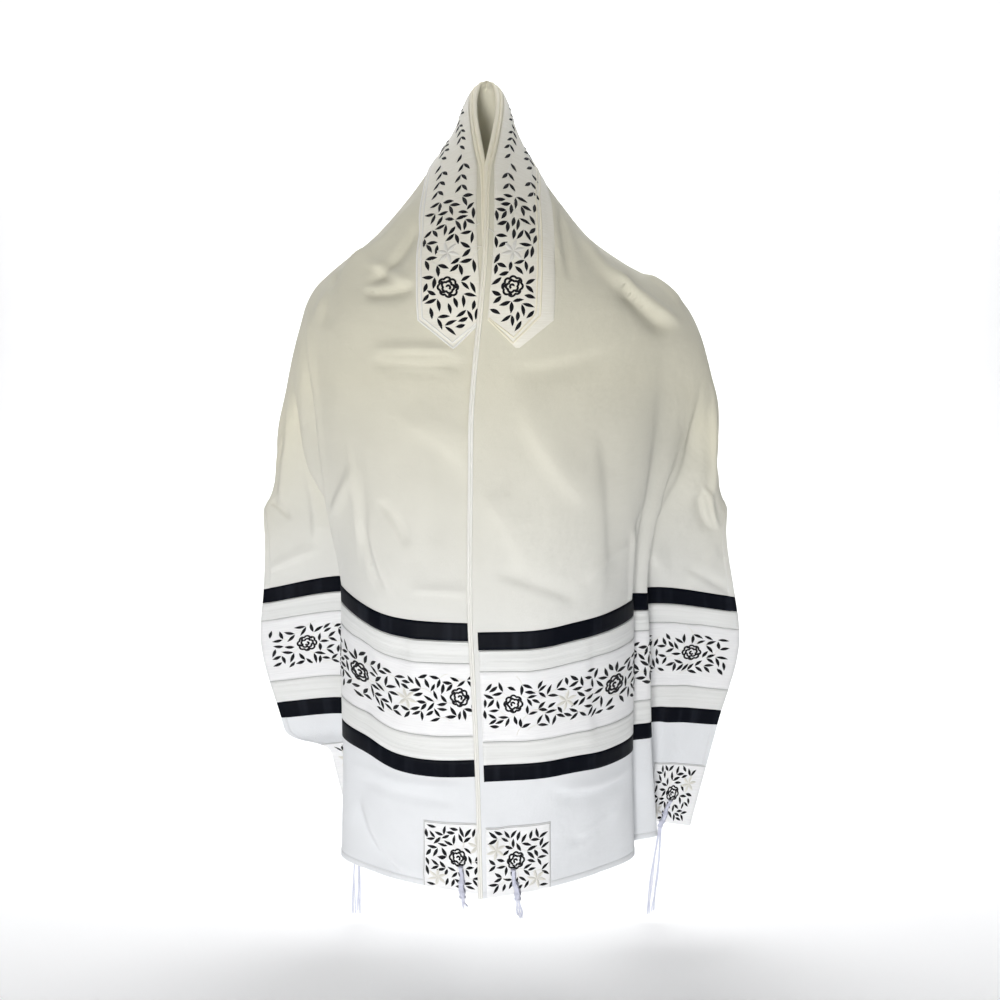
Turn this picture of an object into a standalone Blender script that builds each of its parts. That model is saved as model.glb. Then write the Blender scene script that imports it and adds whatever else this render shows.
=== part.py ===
"""A narrow prayer shawl, hanging filled out from its peak and shoulders as if worn.

Metres, +Z up, the front faces -Y. The origin lies between the shoulders, where the wearer holds
the shawl up.
Every point of the cloth is known by two lengths on the flat strip:
s, along the strip from the centre back, positive towards the half at +X, and
v, across the strip from its top edge (the neck and centre-front edge) to its bottom edge.
"""

import math

import bmesh
import bpy
import numpy as np

# The flat cloth
HALF_LENGTH = 0.945
WIDTH = 0.457
WALL = 0.0012
LAYER = 0.0010
SEAM_GAP = 0.0003

# The trimmings, as distances from the end hem and from the top edge
PATCH_TALL = 0.084
PATCH_WIDE = 0.089
SIDE_PATCH_WIDE = 0.084
PATCH_LINE = 0.038  # the grid line inside the patch, from the end hem
LOWER_RIBBON = (0.136, 0.1555)
LOWER_STRIPE = (0.1558, 0.184)
WHITE_BAND = (0.1843, 0.268)
UPPER_STRIPE = (0.2683, 0.293)
UPPER_RIBBON = (0.2933, 0.314)
BINDING_WIDE = 0.009
COLLAR_START = 0.0096
COLLAR_OUTER = 0.074
COLLAR_CORNER = 0.300
COLLAR_TIP = 0.330

# How the cloth hangs
FRONT_LEVEL = 0.264  # height of the front edge plus its distance along the strip
RIDGE_ANGLE = math.radians(47.0)  # on the flat cloth, from the top edge to the shoulder ridge
CHEST_FLAT = 0.84  # under 1, the front of the cone is flatter than an ellipse
LEAN = 0.015  # the peak and the centre front stand this far towards -X
OVERLAP_GAP = 0.0025  # each front stands this far off the other where they overlap
LOOP_HALF = 0.0115  # half the opening between the neck edges
LOOP_SWELL = 2.6  # the opening is widest a third of the way from the peak
THROAT = 0.139  # where the neck edges meet
TURN_REACH = 0.048  # how far the side corner of the half at -X swings in
TURN_RISE = 0.035
ROLL_IN = 0.026  # on that half the roll behind the crest stays this much further in
FLUTE_DEPTH = 0.010
FLUTE_PITCH = 0.115
FLUTE_SHIFT = 0.04
RAMP_START = 0.21  # from here to the bottom edge the lines across the cloth slope down
RAMP_BEND = 0.2

# Where each change comes in: its start and its length, along the strip (u) or across it (v)
BLEND_IN_U = (0.18, 0.24)  # from the cone over the shoulders to the hanging ends
FLUTE_IN_V = (0.26, 0.15)
FLUTE_IN_U = (0.0, 0.08)
FLUTE_OUT_U = (0.25, 0.12)
LOOP_OUT_V = (0.0, 0.05)
OVERLAP_IN_U = (0.10, 0.05)
OVERLAP_OUT_V = (0.05, 0.10)
TURN_IN_U = (0.806, 0.070)
TURN_IN_V = (0.27, 0.09)
ROLL_IN_U = (0.46, 0.15)
ROLL_IN_V = (0.215, 0.045)
ROLL_OUT_V = (0.265, 0.04)
LEAN_OUT_V = (0.20, 0.16)
LEAN_OUT_RHO = (0.10, 0.25)
SIDES_IN = (0.40, 0.25)  # across the cloth, as a share of rho

# Distance from the peak, then the place of the shoulder ridge, centre front and centre back there
CONE_COLUMNS = ("rho", "ridge_x", "ridge_z", "front_y", "front_z", "back_y", "back_z")
CONE = (
    (0.000, 0.000, 0.2380, 0.008, 0.2380, 0.008, 0.2380),
    (0.025, 0.014, 0.2150, -0.010, 0.2190, 0.020, 0.2150),
    (0.055, 0.029, 0.1890, -0.031, 0.1960, 0.031, 0.1870),
    (0.105, 0.057, 0.1470, -0.062, 0.1570, 0.047, 0.1390),
    (0.161, 0.092, 0.1020, -0.092, 0.1030, 0.063, 0.0840),
    (0.222, 0.134, 0.0570, -0.114, 0.0420, 0.078, 0.0240),
    (0.262, 0.165, 0.0350, -0.121, 0.0020, 0.086, -0.0150),
    (0.326, 0.222, 0.0040, -0.128, -0.0620, 0.095, -0.0780),
    (0.380, 0.243, -0.0430, -0.131, -0.1160, 0.101, -0.1320),
    (0.460, 0.266, -0.1200, -0.131, -0.1960, 0.106, -0.2120),
    (0.600, 0.306, -0.2550, -0.131, -0.3360, 0.112, -0.3500),
    (1.100, 0.310, -0.7500, -0.131, -0.8360, 0.120, -0.8400),
)

# Sections of the hanging ends: a row for each HANG_U along the strip, a column for each HANG_V across it.
# The columns are the front edge, chest, bend, crest, notch, roll, tuck, sleeve and bottom edge.
# X and Y are where each line lies seen from above, and RISE is its height over the front edge.
HANG_V = (0.0, 0.100, 0.150, 0.205, 0.228, 0.262, 0.312, 0.360, WIDTH)
HANG_U = (0.300, 0.460, 0.631, 0.695, 0.800, 0.945)
HANG_X = (
    (-0.016, 0.086, 0.134, 0.180, 0.204, 0.230, 0.246, 0.254, 0.246),
    (-0.018, 0.084, 0.132, 0.184, 0.191, 0.212, 0.216, 0.250, 0.296),
    (-0.019, 0.082, 0.130, 0.172, 0.168, 0.190, 0.152, 0.200, 0.307),
    (-0.016, 0.082, 0.130, 0.174, 0.169, 0.194, 0.153, 0.200, 0.313),
    (-0.012, 0.082, 0.130, 0.175, 0.170, 0.200, 0.155, 0.196, 0.290),
    (-0.009, 0.084, 0.132, 0.182, 0.176, 0.214, 0.160, 0.194, 0.260),
)
HANG_Y = (
    (-0.124, -0.116, -0.098, -0.068, -0.046, -0.012, 0.012, 0.036, 0.074),
    (-0.131, -0.124, -0.104, -0.058, -0.038, -0.014, 0.010, 0.032, 0.047),
    (-0.131, -0.125, -0.104, -0.046, -0.028, -0.014, 0.008, 0.028, 0.045),
    (-0.131, -0.125, -0.104, -0.048, -0.030, -0.014, 0.008, 0.030, 0.045),
    (-0.132, -0.123, -0.101, -0.052, -0.032, -0.014, 0.008, 0.032, 0.045),
    (-0.136, -0.116, -0.093, -0.050, -0.028, -0.008, 0.014, 0.038, 0.045),
)
HANG_RISE = (
    (0.000, 0.000, 0.000, 0.000, 0.000, 0.000, 0.000, 0.000, 0.000),
    (0.000, 0.002, 0.005, 0.010, 0.012, 0.012, 0.010, 0.010, 0.000),
    (0.000, 0.003, 0.007, 0.014, 0.016, 0.017, 0.019, 0.022, 0.008),
    (0.000, 0.002, 0.005, 0.010, 0.012, 0.013, 0.014, 0.016, 0.006),
    (0.000, 0.000, 0.001, 0.003, 0.002, 0.000, 0.000, 0.002, -0.002),
    (0.000, 0.004, 0.003, 0.000, 0.000, 0.000, 0.000, 0.000, 0.000),
)

# Distance from the peak, then the share by which each half's side hangs further out there
SIDE_COLUMNS = ("rho", "right", "left")
SIDE_SHARES = (
    (0.00, 0.000, 0.000),
    (0.06, -0.100, 0.000),
    (0.11, -0.170, 0.000),
    (0.16, -0.110, 0.000),
    (0.21, -0.090, 0.010),
    (0.26, -0.050, 0.010),
    (0.31, -0.070, -0.090),
    (0.36, -0.005, -0.070),
    (0.44, 0.005, -0.010),
    (0.54, 0.025, 0.062),
    (0.62, 0.000, 0.035),
    (0.69, -0.040, 0.000),
    (0.80, 0.000, 0.005),
    (1.10, 0.000, 0.000),
)

# Height of the bottom edge along the strip
BOTTOM_EDGE = (
    (0.000, -0.209),
    (0.100, -0.211),
    (0.200, -0.219),
    (0.300, -0.232),
    (0.400, -0.248),
    (0.500, -0.278),
    (0.600, -0.352),
    (0.700, -0.450),
    (0.945, -0.701),
)

# Grid lines of the cloth
CONE_STEPS = 14
DROP_STEPS = 8
COLLAR_LINES = (COLLAR_START, 0.025, 0.042, 0.058, COLLAR_OUTER)
V_LINES = (
    0.0, BINDING_WIDE, *COLLAR_LINES, PATCH_WIDE, 0.110, 0.140, 0.168,
    0.188, 0.199, 0.206, 0.214, 0.226, 0.240, 0.252, 0.262, 0.272, 0.290, 0.303, 0.312, 0.322, 0.340,
    WIDTH - SIDE_PATCH_WIDE, 0.405, 0.431, WIDTH,
)

# The tassels: a wound head hangs from the hole in each corner patch, and its strands hang free
STRANDS_WIDE, STRANDS_DEEP = 4, 2
STRAND_THICK = 0.0014
STRAND_PITCH = 0.0026
STRAND_STEPS = 9
STRAND_WAVE = 0.0014
STRAND_SPREAD = 1.25
HEAD_CLEAR = 0.0006
HOLE_UP = 0.034  # from the end hem to the hole
FOOT_DOWN = 0.004  # from the end hem to the foot of the head
PROBE = 0.002  # the cloth's own directions are measured over this length
KNOTS = (1.0, 0.72, 1.0, 0.72, 1.0, 0.72, 1.0)
TASSEL_COLUMNS = ("half", "corner", "hole_v", "foot_shift", "end_shift", "end_z")
TASSELS = (
    ("right", "front", 0.042, 0.005, 0.008, -0.707),
    ("left", "front", 0.042, -0.003, 0.004, -0.697),
    ("right", "side", WIDTH - 0.048, -0.014, -0.022, -0.832),
    ("left", "side", WIDTH - 0.034, 0.008, -0.006, -0.832),
)


def step(value):
    """0 below 0, 1 above 1 and a smooth rise between."""
    t = np.clip(value, 0.0, 1.0)
    return t * t * (3 - 2 * t)


def fade(value, change):
    """A smooth rise from 0 to 1 over the length of a change, from its start."""
    start, length = change
    return step((value - start) / length)


def spline(knots, values, at):
    """A smooth curve through values at knots; values may hold one row for each point of at."""
    knots = np.asarray(knots, float)
    values = np.broadcast_to(values, np.shape(at) + (len(knots),))
    gaps = np.diff(knots)
    slopes = np.diff(values, axis=-1) / gaps
    middle = (slopes[..., :-1] * gaps[1:] + slopes[..., 1:] * gaps[:-1]) / (gaps[1:] + gaps[:-1])
    tangents = np.concatenate([slopes[..., :1], middle, slopes[..., -1:]], axis=-1)
    index = np.clip(np.searchsorted(knots, at, side="right") - 1, 0, len(knots) - 2)

    def pick(table, shift):
        return np.take_along_axis(table, (index + shift)[..., None], -1)[..., 0]

    gap = gaps[index]
    t = (at - knots[index]) / gap
    start, end = pick(values, 0), pick(values, 1)
    leave, arrive = pick(tangents, 0) * gap, pick(tangents, 1) * gap
    return (
        start * (2 * t**3 - 3 * t**2 + 1)
        + leave * (t**3 - 2 * t**2 + t)
        + end * (3 * t**2 - 2 * t**3)
        + arrive * (t**3 - t**2)
    )


def cone_point(u, v):
    """The cloth as it falls from the peak over the shoulders."""
    rho = np.hypot(u, v)
    angle = np.arctan2(v, np.maximum(u, 1e-9))
    columns = dict(zip(CONE_COLUMNS, zip(*CONE)))
    ridge_x, ridge_z, front_y, front_z, back_y, back_z = (
        spline(columns["rho"], columns[name], rho) for name in CONE_COLUMNS[1:]
    )
    in_front = angle < RIDGE_ANGLE
    ahead = angle / RIDGE_ANGLE
    ahead = ahead * (CHEST_FLAT + (1 - CHEST_FLAT) * ahead**2) * math.pi / 2
    behind = (angle - RIDGE_ANGLE) / (math.pi / 2 - RIDGE_ANGLE) * math.pi / 2
    across = np.where(in_front, np.sin(ahead), np.cos(behind))
    away = np.where(in_front, np.cos(ahead), np.sin(behind))
    far_y = np.where(in_front, front_y, back_y)
    far_z = np.where(in_front, front_z, back_z)
    return ridge_x * across, far_y * away, ridge_z + (far_z - ridge_z) * away**2


def hanging_point(u, v):
    """The cloth below the shoulders: a flat front, a rolled pleat behind its crest, and the side part."""
    at = np.maximum(u, HANG_U[0])
    x, y, rise = (
        spline(HANG_V, np.stack([spline(HANG_U, line, at) for line in zip(*table)], -1), v)
        for table in (HANG_X, HANG_Y, HANG_RISE)
    )
    front_z = FRONT_LEVEL - u
    bottom = spline(*zip(*BOTTOM_EDGE), u)
    ramp = np.clip((v - RAMP_START) / (WIDTH - RAMP_START), 0.0, 1.0)
    ramp = ramp * ramp * (1 + RAMP_BEND) / (ramp + RAMP_BEND)
    return x, y, front_z + (bottom - front_z) * ramp + rise


SLIDE_COLUMNS = ("v", "right_upper", "right_lower", "left_upper", "left_lower")
SLIDES = (
    (0.000, 0.000, 0.005, 0.008, 0.010),
    (0.080, 0.001, 0.008, 0.009, 0.008),
    (0.120, 0.004, 0.008, 0.009, 0.010),
    (0.160, 0.004, 0.003, 0.014, 0.020),
    (0.190, 0.002, 0.001, 0.018, 0.020),
    (0.250, -0.004, 0.002, 0.013, 0.018),
    (0.360, -0.008, 0.006, 0.007, 0.018),
    (WIDTH, -0.006, 0.008, 0.005, 0.018),
)
SLIDE_U = (0.38, 0.64, 0.80, 0.904)


def slid(side, u, v):
    """Where a line across the strip crosses the drape: it rides up over the folds and comes back to the hem."""
    columns = dict(zip(SLIDE_COLUMNS, zip(*SLIDES)))
    upper, lower = (
        np.where(side > 0, *(spline(columns["v"], columns[f"{half}_{name}"], v) for half in ("right", "left")))
        for name in ("upper", "lower")
    )
    risen, passed, ended = (
        np.clip((u - low) / (high - low), 0.0, 1.0) for low, high in zip(SLIDE_U, SLIDE_U[1:])
    )
    return u - (upper * risen * (1 - passed) + lower * passed * (1 - ended))


def cloth_point(s, v):
    """Where the middle of the cloth's wall lies."""
    side = np.where(s < 0, -1.0, 1.0)
    u = slid(side, np.abs(s), v)
    rho = np.hypot(u, v)
    share = fade(u, BLEND_IN_U)
    x, y, z = (a * (1 - share) + b * share for a, b in zip(cone_point(u, v), hanging_point(u, v)))

    sides = dict(zip(SIDE_COLUMNS, zip(*SIDE_SHARES)))
    wider = np.where(side > 0, *(spline(sides["rho"], sides[half], rho) for half in ("right", "left")))
    x = x * (1 + wider * fade(v / np.maximum(rho, 1e-9), SIDES_IN))

    flute = FLUTE_DEPTH * fade(v, FLUTE_IN_V) * fade(u, FLUTE_IN_U) * (1 - fade(u, FLUTE_OUT_U))
    wave = flute * np.sin(2 * math.pi * (u - FLUTE_SHIFT) / FLUTE_PITCH)
    reach = np.maximum(np.hypot(x, y), 1e-6)
    x, y = x + wave * x / reach, y + wave * y / reach

    opening = np.clip(u / THROAT, 0.0, 1.0)
    teardrop = LOOP_SWELL * np.sqrt(opening) * (1 - opening)
    x = x + LOOP_HALF * teardrop * (1 - fade(v, LOOP_OUT_V))
    y = y - side * OVERLAP_GAP * fade(u, OVERLAP_IN_U) * (1 - fade(v, OVERLAP_OUT_V))

    turned = fade(u, TURN_IN_U) * fade(v, TURN_IN_V)
    rolled = fade(u, ROLL_IN_U) * fade(v, ROLL_IN_V) * (1 - fade(v, ROLL_OUT_V))
    x = x - np.where(side < 0, TURN_REACH * turned + ROLL_IN * rolled, 0.0)
    z = z + np.where(side < 0, TURN_RISE * turned, 0.0)
    lean = LEAN * (1 - fade(v, LEAN_OUT_V) * fade(rho, LEAN_OUT_RHO))
    return np.stack([side * x - lean, y, z], -1)


def length_lines():
    """The grid lines across one half, which follow the edges of every trimming."""
    marks = {0.0, COLLAR_CORNER, (COLLAR_CORNER + COLLAR_TIP) / 2, COLLAR_TIP, HALF_LENGTH}
    marks |= {COLLAR_CORNER * i / CONE_STEPS for i in range(1, CONE_STEPS)}
    first = HALF_LENGTH - UPPER_RIBBON[1]
    marks |= {COLLAR_TIP + (first - COLLAR_TIP) * i / DROP_STEPS for i in range(1, DROP_STEPS + 1)}
    for low, high in (LOWER_RIBBON, LOWER_STRIPE, WHITE_BAND, UPPER_STRIPE, UPPER_RIBBON):
        marks |= {HALF_LENGTH - low, HALF_LENGTH - high}
    marks |= {HALF_LENGTH - sum(WHITE_BAND) / 2, HALF_LENGTH - PATCH_TALL, HALF_LENGTH - PATCH_LINE}
    marks |= {HALF_LENGTH - (LOWER_RIBBON[0] + PATCH_TALL) / 2}
    return sorted(marks)


U_LINES = length_lines()
S_LINES = [-u for u in reversed(U_LINES[1:])] + U_LINES


def cloth_grid():
    """The points of the whole cloth on its grid lines, and its outward directions there."""
    s, v = np.meshgrid(S_LINES, V_LINES, indexing="ij")
    points = cloth_point(s, v)
    along = np.zeros_like(points)
    down = np.zeros_like(points)
    along[1:-1] = points[2:] - points[:-2]
    along[0], along[-1] = points[1] - points[0], points[-1] - points[-2]
    down[:, 1:-1] = points[:, 2:] - points[:, :-2]
    down[:, 0], down[:, -1] = points[:, 1] - points[:, 0], points[:, -1] - points[:, -2]
    out = np.cross(along, down)
    return points, out / np.linalg.norm(out, axis=-1, keepdims=True)


def material(name, colour, roughness):
    made = bpy.data.materials.new(name)
    made.use_nodes = True
    shader = made.node_tree.nodes["Principled BSDF"]
    shader.inputs["Base Color"].default_value = (*colour, 1.0)
    shader.inputs["Roughness"].default_value = roughness
    shader.inputs["Metallic"].default_value = 0.0
    return made


def add_object(name, points, faces, finish):
    mesh = bpy.data.meshes.new(name)
    mesh.from_pydata([tuple(map(float, point)) for point in points], [], faces)
    shape = bmesh.new()
    shape.from_mesh(mesh)
    bmesh.ops.recalc_face_normals(shape, faces=shape.faces)
    shape.to_mesh(mesh)
    shape.free()
    mesh.shade_smooth()
    mesh.set_sharp_from_angle(angle=math.radians(50))
    mesh.materials.append(finish)
    made = bpy.data.objects.new(name, mesh)
    bpy.context.scene.collection.objects.link(made)
    return made


def add_shell(name, cells, low, high, finish):
    """A wall over some faces of the cloth's grid, from low to high above the middle of the cloth."""
    used = sorted({corner for cell in cells for corner in cell})
    place = {corner: i for i, corner in enumerate(used)}
    under = [GRID[corner] + OUTWARD[corner] * low for corner in used]
    over = [GRID[corner] + OUTWARD[corner] * high for corner in used]
    count = len(used)
    top = [tuple(place[corner] + count for corner in cell) for cell in cells]
    bottom = [tuple(place[corner] for corner in reversed(cell)) for cell in cells]
    edges = {(face[i], face[(i + 1) % len(face)]) for face in top for i in range(len(face))}
    rim = [(b, a, a - count, b - count) for a, b in edges if (b, a) not in edges]
    return add_object(name, under + over, top + bottom + sorted(rim), finish)


def triangles(i, j):
    """A square of the grid as two triangles, split the same way wherever it is used."""
    return [((i, j), (i + 1, j), (i + 1, j + 1)), ((i, j), (i + 1, j + 1), (i, j + 1))]


def line(lines, value):
    return min(range(len(lines)), key=lambda i: abs(lines[i] - value))


def cells_between(s_low, s_high, v_low, v_high):
    columns = range(line(S_LINES, s_low), line(S_LINES, s_high))
    rows = range(line(V_LINES, v_low), line(V_LINES, v_high))
    return [face for i in columns for j in rows for face in triangles(i, j)]


def add_trimming(name, s_range, v_range, finish):
    low = WALL / 2 + SEAM_GAP
    return add_shell(name, cells_between(*sorted(s_range), *v_range), low, low + LAYER, finish)


def add_cloth(finish):
    cells = cells_between(-HALF_LENGTH, HALF_LENGTH, 0.0, WIDTH)
    add_shell("shawl_cloth", cells, -WALL / 2, WALL / 2, finish)


def add_end_strips(side, half, finishes):
    """The ribbons, ribbed stripes and white band across one end."""
    strips = (
        ("ribbon_upper", UPPER_RIBBON, "black"),
        ("ribbed_stripe_upper", UPPER_STRIPE, "grey"),
        ("embroidered_band", WHITE_BAND, "white"),
        ("ribbed_stripe_lower", LOWER_STRIPE, "grey"),
        ("ribbon_lower", LOWER_RIBBON, "black"),
    )
    for name, (low, high), finish in strips:
        ends = (side * (HALF_LENGTH - high), side * (HALF_LENGTH - low))
        add_trimming(f"{name}_{half}", ends, (COLLAR_START, WIDTH), finishes[finish])


def add_corner_patches(side, half, finish):
    ends = (side * (HALF_LENGTH - PATCH_TALL), side * HALF_LENGTH)
    add_trimming(f"corner_patch_front_{half}", ends, (COLLAR_START, PATCH_WIDE), finish)
    add_trimming(f"corner_patch_side_{half}", ends, (WIDTH - SIDE_PATCH_WIDE, WIDTH), finish)


def add_collar(finish):
    """The collar band over both shoulders of the neck, with a pointed end on each front."""
    cells = cells_between(-COLLAR_CORNER, COLLAR_CORNER, COLLAR_START, COLLAR_OUTER)
    rows = [line(V_LINES, value) for value in COLLAR_LINES]
    for side in (-1, 1):
        corner, middle, tip = (
            line(S_LINES, side * value)
            for value in (COLLAR_CORNER, (COLLAR_CORNER + COLLAR_TIP) / 2, COLLAR_TIP)
        )
        point = [
            ((corner, rows[0]), (middle, rows[1]), (corner, rows[1])),
            ((corner, rows[1]), (middle, rows[1]), (middle, rows[2])),
            ((corner, rows[1]), (middle, rows[2]), (corner, rows[2])),
            ((corner, rows[2]), (middle, rows[2]), (middle, rows[3])),
            ((corner, rows[2]), (middle, rows[3]), (corner, rows[3])),
            ((corner, rows[3]), (middle, rows[3]), (corner, rows[4])),
            ((middle, rows[1]), (tip, rows[2]), (middle, rows[2])),
            ((middle, rows[2]), (tip, rows[2]), (middle, rows[3])),
        ]
        cells += point if side > 0 else [tuple(reversed(face)) for face in point]
    low = WALL / 2 + SEAM_GAP
    add_shell("collar_band", cells, low, low + LAYER, finish)


def add_binding(finish):
    """The folded edging that runs up one front edge, round the neck and down the other."""
    reach = HALF_LENGTH - PATCH_TALL
    add_trimming("edge_binding", (-reach, reach), (0.0, BINDING_WIDE), finish)


def tassel_route(half, hole_v, foot_shift, end_shift, end_z):
    """The hole, the foot of the head and the end, and the cloth's own directions at the first two."""
    side = 1 if half == "right" else -1
    stand_off = WALL / 2 + LAYER + 2 * SEAM_GAP + bar_marks(STRANDS_DEEP)[-1] + HEAD_CLEAR
    places = []
    crosses = []
    for up, shift in ((HOLE_UP, 0.0), (-FOOT_DOWN, foot_shift)):
        s = side * (HALF_LENGTH - up) + np.array((0.0, PROBE, 0.0))
        spot, along, across = cloth_point(s, hole_v + shift + np.array((0.0, 0.0, PROBE)))
        out = np.cross(along - spot, across - spot)
        crosses.append(np.array([way / np.linalg.norm(way) for way in (across - spot, out)]))
        places.append(spot + crosses[-1][1] * stand_off)
    hole, foot = places
    return hole, foot, np.array((hole[0] + end_shift, foot[1], end_z)), crosses


def bar_marks(count):
    """Where the sides of a row of strands lie, a strand and a gap in turn."""
    marks = [(i // 2) * STRAND_PITCH + (i % 2) * STRAND_THICK for i in range(2 * count)]
    return [mark - marks[-1] / 2 for mark in marks]


def add_tassel(half, corner, hole_v, foot_shift, end_shift, end_z, finish):
    """The head is a bar with a chequer of small squares at its foot, and a strand grows from each."""
    hole, foot, end, crosses = tassel_route(half, hole_v, foot_shift, end_shift, end_z)
    xs, ys = bar_marks(STRANDS_WIDE), bar_marks(STRANDS_DEEP)
    wide, deep = len(xs), len(ys)
    border = [(i, 0) for i in range(wide - 1)] + [(wide - 1, j) for j in range(deep - 1)]
    border += [(i, deep - 1) for i in range(wide - 1, 0, -1)]
    border += [(0, j) for j in range(deep - 1, 0, -1)]
    everywhere = [(i, j) for i in range(wide) for j in range(deep)]
    points, faces, rings = [], [], []
    for k, knot in enumerate(KNOTS):
        share = k / (len(KNOTS) - 1)
        centre = hole + (foot - hole) * share
        wide_way, deep_way = crosses[0] + (crosses[1] - crosses[0]) * share
        whole = share in (0.0, 1.0)
        rings.append({})
        for i, j in everywhere if whole else border:
            rings[-1][i, j] = len(points)
            points.append(centre + wide_way * xs[i] * knot + deep_way * ys[j] * knot)
    for upper, lower in zip(rings, rings[1:]):
        for a, b in zip(border, border[1:] + border[:1]):
            faces.append((upper[a], lower[a], lower[b], upper[b]))
    for i in range(wide - 1):
        for j in range(deep - 1):
            square = ((i, j), (i + 1, j), (i + 1, j + 1), (i, j + 1))
            faces.append(tuple(rings[0][place] for place in square))
            lower = [rings[-1][place] for place in square]
            if i % 2 or j % 2:
                faces.append(tuple(lower))
                continue
            root = [points[place] for place in lower]
            spread = (sum(root) / 4 - foot) * STRAND_SPREAD
            for k in range(1, STRAND_STEPS + 1):
                share = k / STRAND_STEPS
                sway = STRAND_WAVE * share * math.sin(3.0 * math.pi * share + 0.5 * i)
                move = (end - foot + spread) * share + (sway, 0.5 * sway, 0.0)
                ring = [len(points) + n for n in range(4)]
                points += [start + move for start in root]
                faces += [(lower[n], ring[n], ring[(n + 1) % 4], lower[(n + 1) % 4]) for n in range(4)]
                lower = ring
            faces.append(tuple(lower))
    add_object(f"tassel_{corner}_{half}", points, faces, finish)


def clear_scene():
    for found in list(bpy.data.objects):
        bpy.data.objects.remove(found, do_unlink=True)


clear_scene()
GRID, OUTWARD = cloth_grid()
FINISHES = {
    "wool": material("ivory_cloth", (0.80, 0.77, 0.69), 0.75),
    "cream": material("cream_binding", (0.86, 0.81, 0.68), 0.55),
    "collar": material("collar_cloth", (0.85, 0.82, 0.73), 0.65),
    "black": material("black_satin", (0.006, 0.008, 0.014), 0.38),
    "grey": material("ribbed_grey", (0.72, 0.74, 0.72), 0.6),
    "white": material("white_satin", (0.87, 0.87, 0.89), 0.5),
    "tassel": material("white_cord", (0.72, 0.74, 0.86), 0.7),
}
add_cloth(FINISHES["wool"])
add_binding(FINISHES["cream"])
add_collar(FINISHES["collar"])
for SIDE, HALF in ((1, "right"), (-1, "left")):
    add_end_strips(SIDE, HALF, FINISHES)
    add_corner_patches(SIDE, HALF, FINISHES["white"])
for ROW in TASSELS:
    add_tassel(**dict(zip(TASSEL_COLUMNS, ROW)), finish=FINISHES["tassel"])
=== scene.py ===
"""The looks of a narrow prayer shawl that hangs filled out from its peak and shoulders.

Every point of the cloth is known by two lengths on the flat strip: s, along it from the centre back,
positive towards the half at +X, and v, across it from its top edge. Raised work has a height over the
middle of the wall.
"""

import math
import random

import bpy
import numpy as np
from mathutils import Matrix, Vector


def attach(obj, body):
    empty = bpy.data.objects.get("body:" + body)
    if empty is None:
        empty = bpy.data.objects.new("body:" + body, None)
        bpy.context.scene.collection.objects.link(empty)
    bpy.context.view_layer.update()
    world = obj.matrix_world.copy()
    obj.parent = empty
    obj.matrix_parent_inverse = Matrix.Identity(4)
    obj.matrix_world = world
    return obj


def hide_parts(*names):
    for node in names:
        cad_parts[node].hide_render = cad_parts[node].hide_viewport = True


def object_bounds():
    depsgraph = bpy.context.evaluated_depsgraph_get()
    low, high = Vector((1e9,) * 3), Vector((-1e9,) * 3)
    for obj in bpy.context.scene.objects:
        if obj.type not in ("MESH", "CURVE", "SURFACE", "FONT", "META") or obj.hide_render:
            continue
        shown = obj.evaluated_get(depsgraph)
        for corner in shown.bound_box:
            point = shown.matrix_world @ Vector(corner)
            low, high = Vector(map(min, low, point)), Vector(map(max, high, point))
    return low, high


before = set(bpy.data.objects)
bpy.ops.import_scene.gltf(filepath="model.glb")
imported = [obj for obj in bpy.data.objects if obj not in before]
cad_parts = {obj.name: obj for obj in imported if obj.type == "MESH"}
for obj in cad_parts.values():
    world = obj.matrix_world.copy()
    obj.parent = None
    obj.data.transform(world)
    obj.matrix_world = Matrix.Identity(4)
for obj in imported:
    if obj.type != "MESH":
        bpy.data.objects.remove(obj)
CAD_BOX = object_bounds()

# The flat cloth and its trimmings, as distances from the end hem and from the top edge
HALF_LENGTH = 0.945
WIDTH = 0.457
WALL = 0.0012
PATCH_TALL = 0.084
PATCH_WIDE = 0.089
SIDE_PATCH_WIDE = 0.084
LOWER_RIBBON = (0.136, 0.1555)
LOWER_STRIPE = (0.1558, 0.184)
WHITE_BAND = (0.1843, 0.268)
UPPER_STRIPE = (0.2683, 0.293)
UPPER_RIBBON = (0.2933, 0.314)
COLLAR_START = 0.0096
COLLAR_OUTER = 0.074
COLLAR_MIDDLE = 0.042
COLLAR_CORNER = 0.300
COLLAR_TIP = 0.330

# How the cloth hangs
FRONT_LEVEL = 0.264
RIDGE_ANGLE = math.radians(47.0)
CHEST_FLAT = 0.84
LEAN = 0.015
OVERLAP_GAP = 0.0025
LOOP_HALF = 0.0115
LOOP_SWELL = 2.6
THROAT = 0.139
TURN_REACH = 0.048
TURN_RISE = 0.035
ROLL_IN = 0.026
FLUTE_DEPTH = 0.010
FLUTE_PITCH = 0.115
FLUTE_SHIFT = 0.04
RAMP_START = 0.21
RAMP_BEND = 0.2

# Where each change comes in: its start and its length, along the strip (u) or across it (v)
BLEND_IN_U = (0.18, 0.24)
FLUTE_IN_V = (0.26, 0.15)
FLUTE_IN_U = (0.0, 0.08)
FLUTE_OUT_U = (0.25, 0.12)
LOOP_OUT_V = (0.0, 0.05)
OVERLAP_IN_U = (0.10, 0.05)
OVERLAP_OUT_V = (0.05, 0.10)
TURN_IN_U = (0.806, 0.070)
TURN_IN_V = (0.27, 0.09)
ROLL_IN_U = (0.46, 0.15)
ROLL_IN_V = (0.215, 0.045)
ROLL_OUT_V = (0.265, 0.04)
LEAN_OUT_V = (0.20, 0.16)
LEAN_OUT_RHO = (0.10, 0.25)
SIDES_IN = (0.40, 0.25)

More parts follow.
